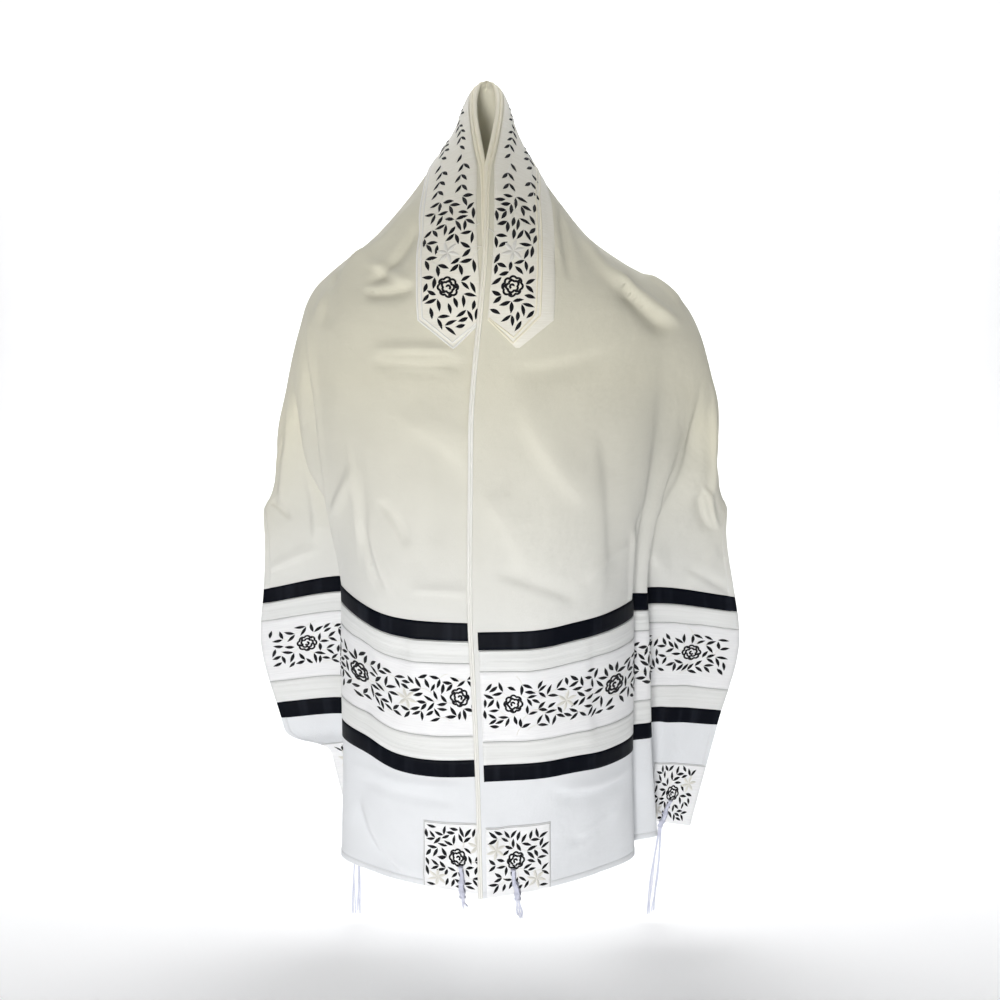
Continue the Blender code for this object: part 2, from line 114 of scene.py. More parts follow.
# Distance from the peak, then the place of the shoulder ridge, centre front and centre back there
CONE_COLUMNS = ("rho", "ridge_x", "ridge_z", "front_y", "front_z", "back_y", "back_z")
CONE = (
    (0.000, 0.000, 0.2380, 0.008, 0.2380, 0.008, 0.2380),
    (0.025, 0.014, 0.2150, -0.010, 0.2190, 0.020, 0.2150),
    (0.055, 0.029, 0.1890, -0.031, 0.1960, 0.031, 0.1870),
    (0.105, 0.057, 0.1470, -0.062, 0.1570, 0.047, 0.1390),
    (0.161, 0.092, 0.1020, -0.092, 0.1030, 0.063, 0.0840),
    (0.222, 0.134, 0.0570, -0.114, 0.0420, 0.078, 0.0240),
    (0.262, 0.165, 0.0350, -0.121, 0.0020, 0.086, -0.0150),
    (0.326, 0.222, 0.0040, -0.128, -0.0620, 0.095, -0.0780),
    (0.380, 0.243, -0.0430, -0.131, -0.1160, 0.101, -0.1320),
    (0.460, 0.266, -0.1200, -0.131, -0.1960, 0.106, -0.2120),
    (0.600, 0.306, -0.2550, -0.131, -0.3360, 0.112, -0.3500),
    (1.100, 0.310, -0.7500, -0.131, -0.8360, 0.120, -0.8400),
)

# Sections of the hanging ends: a row for each HANG_U along the strip, a column for each HANG_V across it.
# The columns are the front edge, chest, bend, crest, notch, roll, tuck, sleeve and bottom edge.
# X and Y are where each line lies seen from above, and RISE is its height over the front edge.
HANG_V = (0.0, 0.100, 0.150, 0.205, 0.228, 0.262, 0.312, 0.360, WIDTH)
HANG_U = (0.300, 0.460, 0.631, 0.695, 0.800, 0.945)
HANG_X = (
    (-0.016, 0.086, 0.134, 0.180, 0.204, 0.230, 0.246, 0.254, 0.246),
    (-0.018, 0.084, 0.132, 0.184, 0.191, 0.212, 0.216, 0.250, 0.296),
    (-0.019, 0.082, 0.130, 0.172, 0.168, 0.190, 0.152, 0.200, 0.307),
    (-0.016, 0.082, 0.130, 0.174, 0.169, 0.194, 0.153, 0.200, 0.313),
    (-0.012, 0.082, 0.130, 0.175, 0.170, 0.200, 0.155, 0.196, 0.290),
    (-0.009, 0.084, 0.132, 0.182, 0.176, 0.214, 0.160, 0.194, 0.260),
)
HANG_Y = (
    (-0.124, -0.116, -0.098, -0.068, -0.046, -0.012, 0.012, 0.036, 0.074),
    (-0.131, -0.124, -0.104, -0.058, -0.038, -0.014, 0.010, 0.032, 0.047),
    (-0.131, -0.125, -0.104, -0.046, -0.028, -0.014, 0.008, 0.028, 0.045),
    (-0.131, -0.125, -0.104, -0.048, -0.030, -0.014, 0.008, 0.030, 0.045),
    (-0.132, -0.123, -0.101, -0.052, -0.032, -0.014, 0.008, 0.032, 0.045),
    (-0.136, -0.116, -0.093, -0.050, -0.028, -0.008, 0.014, 0.038, 0.045),
)
HANG_RISE = (
    (0.000, 0.000, 0.000, 0.000, 0.000, 0.000, 0.000, 0.000, 0.000),
    (0.000, 0.002, 0.005, 0.010, 0.012, 0.012, 0.010, 0.010, 0.000),
    (0.000, 0.003, 0.007, 0.014, 0.016, 0.017, 0.019, 0.022, 0.008),
    (0.000, 0.002, 0.005, 0.010, 0.012, 0.013, 0.014, 0.016, 0.006),
    (0.000, 0.000, 0.001, 0.003, 0.002, 0.000, 0.000, 0.002, -0.002),
    (0.000, 0.004, 0.003, 0.000, 0.000, 0.000, 0.000, 0.000, 0.000),
)

# Distance from the peak, then the share by which each half's side hangs further out there
SIDE_COLUMNS = ("rho", "right", "left")
SIDE_SHARES = (
    (0.00, 0.000, 0.000),
    (0.06, -0.100, 0.000),
    (0.11, -0.170, 0.000),
    (0.16, -0.110, 0.000),
    (0.21, -0.090, 0.010),
    (0.26, -0.050, 0.010),
    (0.31, -0.070, -0.090),
    (0.36, -0.005, -0.070),
    (0.44, 0.005, -0.010),
    (0.54, 0.025, 0.062),
    (0.62, 0.000, 0.035),
    (0.69, -0.040, 0.000),
    (0.80, 0.000, 0.005),
    (1.10, 0.000, 0.000),
)

# How far the lines across the strip ride up over the folds, at the upper and lower ribbon of each half.
# SLIDE_U says where the slide starts, is whole at each ribbon, and ends.
SLIDE_COLUMNS = ("v", "right_upper", "right_lower", "left_upper", "left_lower")
SLIDES = (
    (0.000, 0.000, 0.005, 0.008, 0.010),
    (0.080, 0.001, 0.008, 0.009, 0.008),
    (0.120, 0.004, 0.008, 0.009, 0.010),
    (0.160, 0.004, 0.003, 0.014, 0.020),
    (0.190, 0.002, 0.001, 0.018, 0.020),
    (0.250, -0.004, 0.002, 0.013, 0.018),
    (0.360, -0.008, 0.006, 0.007, 0.018),
    (WIDTH, -0.006, 0.008, 0.005, 0.018),
)
SLIDE_U = (0.38, 0.64, 0.80, 0.904)

# Height of the bottom edge along the strip
BOTTOM_EDGE = (
    (0.000, -0.209),
    (0.100, -0.211),
    (0.200, -0.219),
    (0.300, -0.232),
    (0.400, -0.248),
    (0.500, -0.278),
    (0.600, -0.352),
    (0.700, -0.450),
    (0.945, -0.701),
)

# Creases from one point (s0, v0) of the flat cloth to another: how wide their sharper side is, their depth,
# a ridge where it is positive, and how far the line bows sideways.
CREASE_COLUMNS = ("s0", "v0", "s1", "v1", "width", "depth", "bow")
CREASES = (
    # the long fold over the crest of the left pleat, and the dip behind it
    (-0.275, 0.229, -0.615, 0.201, 0.0034, 0.0034, 0.002),
    (-0.615, 0.214, -0.285, 0.240, 0.0050, -0.0040, -0.002),
    (-0.330, 0.262, -0.560, 0.300, 0.0090, 0.0030, 0.004),
    # from the collar over the left shoulder
    (-0.150, 0.084, -0.222, 0.152, 0.0070, 0.0042, 0.006),
    (-0.186, 0.076, -0.256, 0.124, 0.0050, -0.0040, 0.005),
    (-0.226, 0.128, -0.262, 0.082, 0.0036, 0.0026, 0.002),
    (-0.262, 0.078, -0.266, 0.128, 0.0040, -0.0036, 0.003),
    (-0.196, 0.128, -0.292, 0.214, 0.0090, 0.0040, 0.004),
    (-0.226, 0.176, -0.300, 0.196, 0.0080, -0.0036, 0.003),
    # two wrinkles under the left point of the collar
    (-0.332, 0.122, -0.334, 0.036, 0.0030, 0.0022, 0.003),
    (-0.344, 0.034, -0.343, 0.128, 0.0036, -0.0026, 0.003),
    (-0.350, 0.118, -0.352, 0.044, 0.0040, 0.0018, 0.002),
    # from the collar over the right shoulder
    (0.150, 0.078, 0.252, 0.082, 0.0034, 0.0034, -0.003),
    (0.256, 0.090, 0.160, 0.086, 0.0050, -0.0034, 0.002),
    (0.186, 0.110, 0.262, 0.150, 0.0070, 0.0040, -0.006),
    (0.236, 0.132, 0.290, 0.226, 0.0040, 0.0040, -0.008),
    (0.302, 0.216, 0.254, 0.142, 0.0060, -0.0040, 0.006),
    (0.222, 0.196, 0.262, 0.232, 0.0060, 0.0030, 0.003),
    (0.330, 0.140, 0.352, 0.040, 0.0070, -0.0020, 0.006),
    # down the left chest
    (-0.440, 0.164, -0.590, 0.158, 0.0032, -0.0030, 0.004),
    (-0.600, 0.150, -0.450, 0.158, 0.0040, 0.0026, 0.003),
    (-0.470, 0.166, -0.536, 0.198, 0.0034, 0.0026, 0.002),
    (-0.530, 0.157, -0.606, 0.132, 0.0036, -0.0028, -0.005),
    (-0.602, 0.124, -0.520, 0.148, 0.0040, 0.0022, 0.004),
    (-0.500, 0.134, -0.546, 0.104, 0.0040, -0.0024, 0.004),
    (-0.598, 0.100, -0.598, 0.034, 0.0030, 0.0016, 0.002),
    (-0.400, 0.100, -0.470, 0.020, 0.0110, 0.0022, 0.006),
    (-0.420, 0.060, -0.540, 0.066, 0.0120, -0.0020, 0.005),
    # down the right chest
    (0.380, 0.052, 0.500, 0.132, 0.0110, 0.0024, -0.008),
    (0.420, 0.140, 0.610, 0.160, 0.0080, -0.0022, 0.005),
    (0.540, 0.186, 0.632, 0.192, 0.0036, 0.0030, 0.002),
    (0.632, 0.206, 0.520, 0.204, 0.0050, -0.0034, 0.002),
    (0.566, 0.030, 0.606, 0.116, 0.0050, -0.0018, 0.004),
    (0.586, 0.128, 0.560, 0.180, 0.0044, 0.0018, 0.003),
    (0.480, 0.016, 0.560, 0.060, 0.0090, 0.0020, 0.004),
    # over the ribbons and bands of both fronts
    (-0.640, 0.096, -0.760, 0.116, 0.0080, 0.0016, 0.004),
    (-0.660, 0.166, -0.786, 0.158, 0.0070, -0.0018, 0.003),
    (0.650, 0.060, 0.772, 0.050, 0.0090, 0.0016, 0.004),
    (0.648, 0.140, 0.780, 0.150, 0.0070, -0.0018, -0.004),
    # under the lower ribbons
    (0.824, 0.096, 0.826, 0.186, 0.0040, 0.0024, -0.004),
    (0.836, 0.190, 0.834, 0.100, 0.0050, -0.0024, 0.004),
    (0.896, 0.112, 0.872, 0.176, 0.0040, -0.0026, -0.004),
    (0.866, 0.182, 0.888, 0.120, 0.0044, 0.0020, 0.003),
    (0.906, 0.020, 0.850, 0.030, 0.0060, 0.0014, 0.003),
    (-0.820, 0.040, -0.828, 0.176, 0.0050, 0.0022, -0.004),
    (-0.842, 0.176, -0.838, 0.050, 0.0056, -0.0022, 0.004),
    (-0.862, 0.164, -0.934, 0.106, 0.0040, 0.0032, -0.012),
    (-0.930, 0.122, -0.872, 0.172, 0.0060, -0.0030, 0.010),
    (-0.898, 0.060, -0.930, 0.094, 0.0060, 0.0016, 0.003),
    # on the side parts
    (0.300, 0.330, 0.500, 0.400, 0.0100, 0.0044, 0.010),
    (0.340, 0.300, 0.560, 0.340, 0.0100, -0.0040, 0.008),
    (0.470, 0.372, 0.524, 0.440, 0.0034, 0.0032, 0.004),
    (0.532, 0.430, 0.484, 0.372, 0.0050, -0.0032, 0.004),
    (0.520, 0.262, 0.610, 0.372, 0.0060, 0.0026, 0.004),
    (0.604, 0.400, 0.628, 0.452, 0.0040, -0.0020, 0.003),
    (0.560, 0.440, 0.618, 0.404, 0.0050, 0.0020, 0.003),
    (0.780, 0.388, 0.880, 0.380, 0.0070, 0.0020, 0.003),
    (0.660, 0.420, 0.780, 0.400, 0.0090, -0.0022, 0.003),
    (-0.320, 0.320, -0.500, 0.410, 0.0100, 0.0044, 0.010),
    (-0.360, 0.290, -0.540, 0.350, 0.0100, -0.0040, 0.008),
    (-0.466, 0.330, -0.572, 0.384, 0.0044, 0.0030, 0.004),
    (-0.560, 0.350, -0.470, 0.312, 0.0050, -0.0026, 0.003),
    (-0.470, 0.430, -0.530, 0.404, 0.0040, -0.0024, 0.003),
    (-0.604, 0.452, -0.590, 0.384, 0.0040, 0.0018, 0.003),
    (-0.640, 0.330, -0.760, 0.350, 0.0080, -0.0020, 0.003),
    # over the back
    (0.030, 0.070, 0.090, 0.270, 0.0120, 0.0046, 0.010),
    (0.075, 0.110, 0.150, 0.310, 0.0110, -0.0046, 0.010),
    (-0.020, 0.090, -0.090, 0.300, 0.0130, 0.0046, -0.012),
    (-0.080, 0.110, -0.180, 0.300, 0.0110, -0.0042, -0.008),
    (0.000, 0.060, 0.006, 0.180, 0.0110, -0.0030, 0.003),
    (0.150, 0.240, 0.196, 0.410, 0.0100, 0.0040, 0.004),
    (-0.150, 0.240, -0.200, 0.410, 0.0110, 0.0040, -0.004),
    (-0.070, 0.146, 0.080, 0.158, 0.0060, -0.0022, 0.010),
    (0.060, 0.172, -0.060, 0.164, 0.0070, 0.0020, -0.008),
    (-0.110, 0.246, 0.040, 0.262, 0.0080, -0.0022, 0.008),
    (0.060, 0.296, 0.180, 0.270, 0.0070, 0.0022, 0.006),
)
SOFT_SIDE = 2.4
CREASE_GAIN = 1.5
CREASE_ENDS = (-0.10, 0.34)
CREASE_IN_V = (0.0, 0.012)

# Heights over the middle of the wall
ON_CLOTH = WALL / 2 + 0.0003
TRIM_TOP = 0.0018
TRIM_LIP = 0.0008
LIP_WIDE = 0.0009
WORK_FOOT = TRIM_TOP - 0.0002

# The tassels, as in the solids: where each hangs and how far its strands reach
HOLE_UP = 0.034
FOOT_DOWN = 0.004
STAND_OFF = 0.0048
TASSEL_COLUMNS = ("half", "corner", "hole_v", "foot_shift", "end_shift", "end_z")
TASSELS = (
    ("right", "front", 0.042, 0.005, 0.008, -0.707),
    ("left", "front", 0.042, -0.003, 0.004, -0.697),
    ("right", "side", WIDTH - 0.048, -0.014, -0.022, -0.832),
    ("left", "side", WIDTH - 0.034, 0.008, -0.006, -0.832),
)

SIDES = {"right": 1.0, "left": -1.0}
TINY = 1e-9


def step(value):
    """0 below 0, 1 above 1 and a smooth rise between."""
    t = np.clip(value, 0.0, 1.0)
    return t * t * (3 - 2 * t)


def fade(value, change):
    """A smooth rise from 0 to 1 over the length of a change, from its start."""
    start, length = change
    return step((value - start) / length)


def by_name(names, table):
    """The columns of a table by their names."""
    return dict(zip(names, zip(*table)))


def unit(vectors):
    """Vectors brought to a length of 1."""
    return vectors / np.maximum(np.linalg.norm(vectors, axis=-1, keepdims=True), TINY)


def run_along(path):
    """How far each point lies along its path."""
    return np.concatenate([[0.0], np.cumsum(np.linalg.norm(np.diff(path, axis=0), axis=1))])


def spline(knots, values, at):
    """A smooth curve through values at knots; values may hold one row for each point of at."""
    knots = np.asarray(knots, float)
    values = np.broadcast_to(values, np.shape(at) + (len(knots),))
    gaps = np.diff(knots)
    slopes = np.diff(values, axis=-1) / gaps
    middle = (slopes[..., :-1] * gaps[1:] + slopes[..., 1:] * gaps[:-1]) / (gaps[1:] + gaps[:-1])
    tangents = np.concatenate([slopes[..., :1], middle, slopes[..., -1:]], axis=-1)
    index = np.clip(np.searchsorted(knots, at, side="right") - 1, 0, len(knots) - 2)

    def pick(table, shift):
        return np.take_along_axis(table, (index + shift)[..., None], -1)[..., 0]

    gap = gaps[index]
    t = (at - knots[index]) / gap
    start, end = pick(values, 0), pick(values, 1)
    leave, arrive = pick(tangents, 0) * gap, pick(tangents, 1) * gap
    return (
        start * (2 * t**3 - 3 * t**2 + 1)
        + leave * (t**3 - 2 * t**2 + t)
        + end * (3 * t**2 - 2 * t**3)
        + arrive * (t**3 - t**2)
    )


def cone_point(u, v):
    """The cloth as it falls from the peak over the shoulders."""
    rho = np.hypot(u, v)
    angle = np.arctan2(v, np.maximum(u, TINY))
    columns = by_name(CONE_COLUMNS, CONE)
    ridge_x, ridge_z, front_y, front_z, back_y, back_z = (
        spline(columns["rho"], columns[name], rho) for name in CONE_COLUMNS[1:]
    )
    in_front = angle < RIDGE_ANGLE
    ahead = angle / RIDGE_ANGLE
    ahead = ahead * (CHEST_FLAT + (1 - CHEST_FLAT) * ahead**2) * math.pi / 2
    behind = (angle - RIDGE_ANGLE) / (math.pi / 2 - RIDGE_ANGLE) * math.pi / 2
    across = np.where(in_front, np.sin(ahead), np.cos(behind))
    away = np.where(in_front, np.cos(ahead), np.sin(behind))
    far_y = np.where(in_front, front_y, back_y)
    far_z = np.where(in_front, front_z, back_z)
    return ridge_x * across, far_y * away, ridge_z + (far_z - ridge_z) * away**2


def hanging_point(u, v):
    """The cloth below the shoulders: a flat front, a rolled pleat behind its crest, and the side part."""
    at = np.maximum(u, HANG_U[0])
    x, y, rise = (
        spline(HANG_V, np.stack([spline(HANG_U, line, at) for line in zip(*table)], -1), v)
        for table in (HANG_X, HANG_Y, HANG_RISE)
    )
    front_z = FRONT_LEVEL - u
    bottom = spline(*zip(*BOTTOM_EDGE), u)
    ramp = np.clip((v - RAMP_START) / (WIDTH - RAMP_START), 0.0, 1.0)
    ramp = ramp * ramp * (1 + RAMP_BEND) / (ramp + RAMP_BEND)
    return x, y, front_z + (bottom - front_z) * ramp + rise


def slid(side, u, v):
    """Where a line across the strip crosses the drape, as it rides up over the folds."""
    columns = by_name(SLIDE_COLUMNS, SLIDES)
    right_upper, right_lower, left_upper, left_lower = (
        spline(columns["v"], columns[name], v) for name in SLIDE_COLUMNS[1:]
    )
    upper, lower = np.where(side > 0, right_upper, left_upper), np.where(side > 0, right_lower, left_lower)
    risen, passed, ended = (
        np.clip((u - low) / (high - low), 0.0, 1.0) for low, high in zip(SLIDE_U, SLIDE_U[1:])
    )
    return u - (upper * risen * (1 - passed) + lower * passed * (1 - ended))


def cloth_point(s, v):
    """Where the middle of the cloth's wall lies, without its creases."""
    side = np.where(s < 0, -1.0, 1.0)
    u = slid(side, np.abs(s), v)
    rho = np.hypot(u, v)
    share = fade(u, BLEND_IN_U)
    x, y, z = (a * (1 - share) + b * share for a, b in zip(cone_point(u, v), hanging_point(u, v)))

    sides = by_name(SIDE_COLUMNS, SIDE_SHARES)
    wider = np.where(side > 0, *(spline(sides["rho"], sides[half], rho) for half in ("right", "left")))
    x = x * (1 + wider * fade(v / np.maximum(rho, TINY), SIDES_IN))

    flute = FLUTE_DEPTH * fade(v, FLUTE_IN_V) * fade(u, FLUTE_IN_U) * (1 - fade(u, FLUTE_OUT_U))
    wave = flute * np.sin(2 * math.pi * (u - FLUTE_SHIFT) / FLUTE_PITCH)
    reach = np.maximum(np.hypot(x, y), 1e-6)
    x, y = x + wave * x / reach, y + wave * y / reach

    opening = np.clip(u / THROAT, 0.0, 1.0)
    teardrop = LOOP_SWELL * np.sqrt(opening) * (1 - opening)
    x = x + LOOP_HALF * teardrop * (1 - fade(v, LOOP_OUT_V))
    y = y - side * OVERLAP_GAP * fade(u, OVERLAP_IN_U) * (1 - fade(v, OVERLAP_OUT_V))

    turned = fade(u, TURN_IN_U) * fade(v, TURN_IN_V)
    rolled = fade(u, ROLL_IN_U) * fade(v, ROLL_IN_V) * (1 - fade(v, ROLL_OUT_V))
    x = x - np.where(side < 0, TURN_REACH * turned + ROLL_IN * rolled, 0.0)
    z = z + np.where(side < 0, TURN_RISE * turned, 0.0)
    lean = LEAN * (1 - fade(v, LEAN_OUT_V) * fade(rho, LEAN_OUT_RHO))
    return np.stack([side * x - lean, y, z], -1)


def crease_height(s, v):
    """How far the creases lift the cloth off its main form."""
    total = np.zeros_like(s)
    for row in CREASES:
        crease = dict(zip(CREASE_COLUMNS, row))
        run_s, run_v = crease["s1"] - crease["s0"], crease["v1"] - crease["v0"]
        length = math.hypot(run_s, run_v)
        ds, dv = s - crease["s0"], v - crease["v0"]
        share = (ds * run_s + dv * run_v) / length**2
        across = (dv * run_s - ds * run_v) / length - 4 * crease["bow"] * share * (1 - share)
        width = np.where(across < 0, crease["width"], SOFT_SIDE * crease["width"])
        ends = fade(share, CREASE_ENDS) * fade(1 - share, CREASE_ENDS)
        total += CREASE_GAIN * crease["depth"] * ends * np.exp(-((across / width) ** 2))
    return total * fade(v, CREASE_IN_V)


PROBE = 0.0015  # how far apart the points lie that give the cloth's slope


def place(s, v, height=0.0):
    """The draped cloth at (s, v), a height over its wall's middle; past an edge it runs straight on."""
    s, v, height = np.broadcast_arrays(*(np.asarray(value, float) for value in (s, v, height)))
    s_on, v_on = np.clip(s, -HALF_LENGTH, HALF_LENGTH), np.clip(v, 0.0, WIDTH)
    s_low, s_high = np.maximum(s_on - PROBE, -HALF_LENGTH), np.minimum(s_on + PROBE, HALF_LENGTH)
    v_low, v_high = np.maximum(v_on - PROBE, 0.0), np.minimum(v_on + PROBE, WIDTH)
    along = (cloth_point(s_high, v_on) - cloth_point(s_low, v_on)) / (s_high - s_low)[..., None]
    down = (cloth_point(s_on, v_high) - cloth_point(s_on, v_low)) / (v_high - v_low)[..., None]
    lift = (height + crease_height(s_on, v_on))[..., None]
    beyond = along * (s - s_on)[..., None] + down * (v - v_on)[..., None]
    return cloth_point(s_on, v_on) + beyond + unit(np.cross(along, down)) * lift


# Meshes

def add_piece(name, points, faces, uv, finish, sharp=55):
    """A mesh object with flat lengths as its texture coordinates, riding on the one body."""
    mesh = bpy.data.meshes.new(name)
    mesh.from_pydata(np.asarray(points, float).tolist(), [], [tuple(map(int, face)) for face in faces])
    layer = mesh.uv_layers.new(name="flat")
    corners = np.empty(len(mesh.loops), np.int32)
    mesh.loops.foreach_get("vertex_index", corners)
    layer.uv.foreach_set("vector", np.asarray(uv, np.float32)[corners].ravel())
    mesh.materials.append(finish)
    mesh.shade_smooth()
    mesh.set_sharp_from_angle(angle=math.radians(sharp))
    piece = bpy.data.objects.new(name, mesh)
    bpy.context.scene.collection.objects.link(piece)
    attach(piece, "root")
    return piece


def numbered(rows, columns):
    """The numbers of a grid of points, row by row."""
    return np.arange(rows * columns).reshape(rows, columns)


def grid_faces(rows, columns):
    """The squares between the points of a grid."""
    index = numbered(rows, columns)
    return np.stack([index[:-1, :-1], index[1:, :-1], index[1:, 1:], index[:-1, 1:]], -1).reshape(-1, 4)


def grid_border(rows, columns):
    """The points round the edge of a grid, in order."""
    index = numbered(rows, columns)
    return np.concatenate([index[:, 0], index[-1, 1:], index[-2::-1, -1], index[0, -2:0:-1]])


def add_skin(name, s, v, low, high, finish, coarse=1):
    """A closed skin over a grid on the flat cloth, from low to high over the middle of the wall.

    Its inner side takes every line of the grid, or every second one where coarse is 2.
    """
    rows, columns = s.shape
    top, border = grid_faces(rows, columns), grid_border(rows, columns)
    inner_s, inner_v = s[::coarse, ::coarse], v[::coarse, ::coarse]
    inner_rows, inner_columns = inner_s.shape
    bottom = grid_faces(inner_rows, inner_columns)[:, ::-1] + rows * columns
    inner_border = grid_border(inner_rows, inner_columns) + rows * columns
    steps = [np.roll(border, -k)[::coarse] for k in range(coarse, -1, -1)]
    rim = np.stack([*steps, inner_border, np.roll(inner_border, -1)], -1)
    points = [place(s, v, high).reshape(-1, 3), place(inner_s, inner_v, low).reshape(-1, 3)]
    uv = [np.stack([each.ravel() for each in pair], -1) for pair in ((s, v), (inner_s, inner_v))]
    return add_piece(name, np.concatenate(points), [*top, *bottom, *rim], np.concatenate(uv), finish)


def add_sweep(name, s, v, height, finish):
    """A closed section, one column for each of its corners, along the rows of a grid on the flat cloth."""
    index = numbered(*s.shape)
    after = np.roll(index, -1, axis=1)
    sides = np.stack([index[:-1], after[:-1], after[1:], index[1:]], -1).reshape(-1, 4)
    ends = [tuple(index[0][::-1]), tuple(index[-1])]
    points = place(s, v, height).reshape(-1, 3)
    return add_piece(name, points, [*sides, *ends], np.stack([s.ravel(), v.ravel()], -1), finish)


def spaced(low, high, gap):
    """Even steps of about a gap, with both ends."""
    return np.linspace(low, high, max(2, round((high - low) / gap) + 1))


def lipped(low, high, gap):
    """Grid lines with one more close to each end, for a rounded edge."""
    return np.concatenate([[low], spaced(low + LIP_WIDE, high - LIP_WIDE, gap), [high]])


def lip_height(shape):
    """The top of a trimming over its grid, lower along the edges."""
    height = np.full(shape, TRIM_TOP)
    height[[0, -1], :] -= TRIM_LIP
    height[1:-1, [0, -1]] -= TRIM_LIP
    return height


# Thread and leaf in section: places across, as shares of half the width, and heights as shares of the whole
THREAD_LANES = (-1.0, -0.72, 0.0, 0.72, 1.0)
THREAD_RISE = (0.0, 0.74, 1.0, 0.74, 0.0)
LEAF_LANES = (-1.0, -0.55, 0.0, 0.55, 1.0)
LEAF_STATIONS = 8
LEAF_POWER = 0.95
LEAF_LEAN = 0.16
LEAF_TIP = 0.05
LEAF_BOW = 0.04
LEAF_END_RISE = 0.45
LEAF_ROUND = 0.96


class Sewn:
    """Raised work that is gathered on the flat cloth and draped all at once."""

    def __init__(self):
        self.flat, self.uv, self.faces, self.count = [], [], [], 0

    def add(self, s, v, height, uv, faces):
        self.flat.append(np.stack([s.ravel(), v.ravel(), height.ravel()], -1))
        self.uv.append(uv.reshape(-1, 2))
        self.faces += [tuple(corner + self.count for corner in face) for face in faces]
        self.count += s.size

    def add_line(self, path, width, height, foot, closed=False):
        """A half-round line of thread along a path of (s, v) points."""
        path = np.asarray(path, float)
        if closed:
            way = np.roll(path, -1, axis=0) - np.roll(path, 1, axis=0)
        else:
            way = np.gradient(path, axis=0)
        way = unit(way)
        across = np.stack([-way[:, 1], way[:, 0]], -1)
        offsets = np.array(THREAD_LANES) * width / 2
        raised = np.array(THREAD_RISE) * height + foot
        spots = path[:, None] + across[:, None] * offsets[None, :, None]
        uv = np.stack(np.broadcast_arrays(run_along(path)[:, None], offsets[None]), -1)
        columns = len(offsets)
        index = numbered(len(path), columns)
        upper, lower = (index, np.roll(index, -1, axis=0)) if closed else (index[:-1], index[1:])
        faces = [
            (upper[i, j], lower[i, j], lower[i, (j + 1) % columns], upper[i, (j + 1) % columns])
            for i in range(len(upper))
            for j in range(columns)
        ]
        if not closed:
            faces += [tuple(index[0]), tuple(index[-1][::-1])]
        self.add(spots[..., 0], spots[..., 1], np.broadcast_to(raised, spots.shape[:2]), uv, faces)

    def add_leaf(self, s, v, angle, length, width, height, foot):
        """A satin-stitch leaf, pointed at both ends and widest behind its middle."""
        lanes, stations = np.meshgrid(LEAF_LANES, np.linspace(-1.0, 1.0, LEAF_STATIONS))
        inner = 1 - stations**2
        half = np.maximum(inner**LEAF_POWER * (1 - LEAF_LEAN * stations), LEAF_TIP) * width / 2
        along = stations * length / 2
        across = half * lanes + LEAF_BOW * length * inner
        rise = LEAF_END_RISE + (1 - LEAF_END_RISE) * inner
        raised = foot + height * np.sqrt(1 - LEAF_ROUND * lanes**2) * rise
        raised[:, [0, -1]] = foot
        turn_s = along * math.cos(angle) - across * math.sin(angle)
        turn_v = along * math.sin(angle) + across * math.cos(angle)
        index = numbered(*along.shape)
        faces = [tuple(face) for face in grid_faces(*along.shape)]
        faces += [(row[0], row[-1], below[-1], below[0]) for row, below in zip(index, index[1:])]
        faces += [tuple(index[0]), tuple(index[-1][::-1])]
        self.add(s + turn_s, v + turn_v, raised, np.stack([along, across], -1), faces)

    def drape(self, name, finish, slot):
        """One piece of all that was gathered."""
        s, v, height = np.concatenate(self.flat).T
        return add_piece(name, place(s, v, height), self.faces, np.concatenate(self.uv), finish)


# Finishes. Colours are linear, and each size, pitch and depth is in metres on the cloth.

def start_finish(name, colour, roughness, **constants):
    """A Principled material; constants are inputs that are the same all over."""
    made = bpy.data.materials.new(name)
    made.use_nodes = True
    shader = made.node_tree.nodes["Principled BSDF"]
    shader.inputs["Base Color"].default_value = (*colour, 1.0)
    shader.inputs["Roughness"].default_value = roughness
    for key, value in constants.items():
        shader.inputs[key.replace("_", " ")].default_value = value
    return made, shader


def add_node(made, kind, settings=None, **inputs):
    """A node with its settings and inputs; an input may be a value or another node's socket."""
    node = made.node_tree.nodes.new(kind)
    for key, value in (settings or {}).items():
        setattr(node, key, value)
    for key, value in inputs.items():
        socket = node.inputs[int(key[1:])] if key[1:].isdigit() else node.inputs[key.replace("_", " ")]
        if isinstance(value, bpy.types.NodeSocket):
            made.node_tree.links.new(value, socket)
        else:
            socket.default_value = value
    return node


def ranged(made, value, limits):
    """A value brought from one range to another; limits name the ends of both."""
    node = add_node(made, "ShaderNodeMapRange", Value=value)
    for key, limit in limits.items():
        node.inputs[key].default_value = limit
    return node.outputs[0]


def flat_lengths(made, turn=0.0, stretch=(1.0, 1.0)):
    """The flat lengths of the cloth in metres, turned and stretched."""
    source = add_node(made, "ShaderNodeUVMap", {"uv_map": "flat"})
    mapping = add_node(made, "ShaderNodeMapping", Vector=source.outputs[0])
    mapping.inputs["Rotation"].default_value = (0, 0, turn)
    mapping.inputs["Scale"].default_value = (*stretch, 1.0)
    return mapping.outputs[0]


def threads(made, pitch, turn=0.0, distortion=0.0):
    """Even threads across the flat lengths, a pitch apart."""
    lengths = flat_lengths(made, turn)
    scale = math.pi / (10 * pitch)
    wave = add_node(made, "ShaderNodeTexWave", Vector=lengths, Scale=scale, Distortion=distortion)
    return wave.outputs["Fac"]


def speckle(made, size, stretch=(1.0, 1.0), detail=3.0):
    """Uneven patches of about a size; stretch under 1 draws them out."""
    lengths = flat_lengths(made, stretch=stretch)
    noise = add_node(made, "ShaderNodeTexNoise", Vector=lengths, Scale=1.0 / size, Detail=detail)
    return noise.outputs["Fac"]


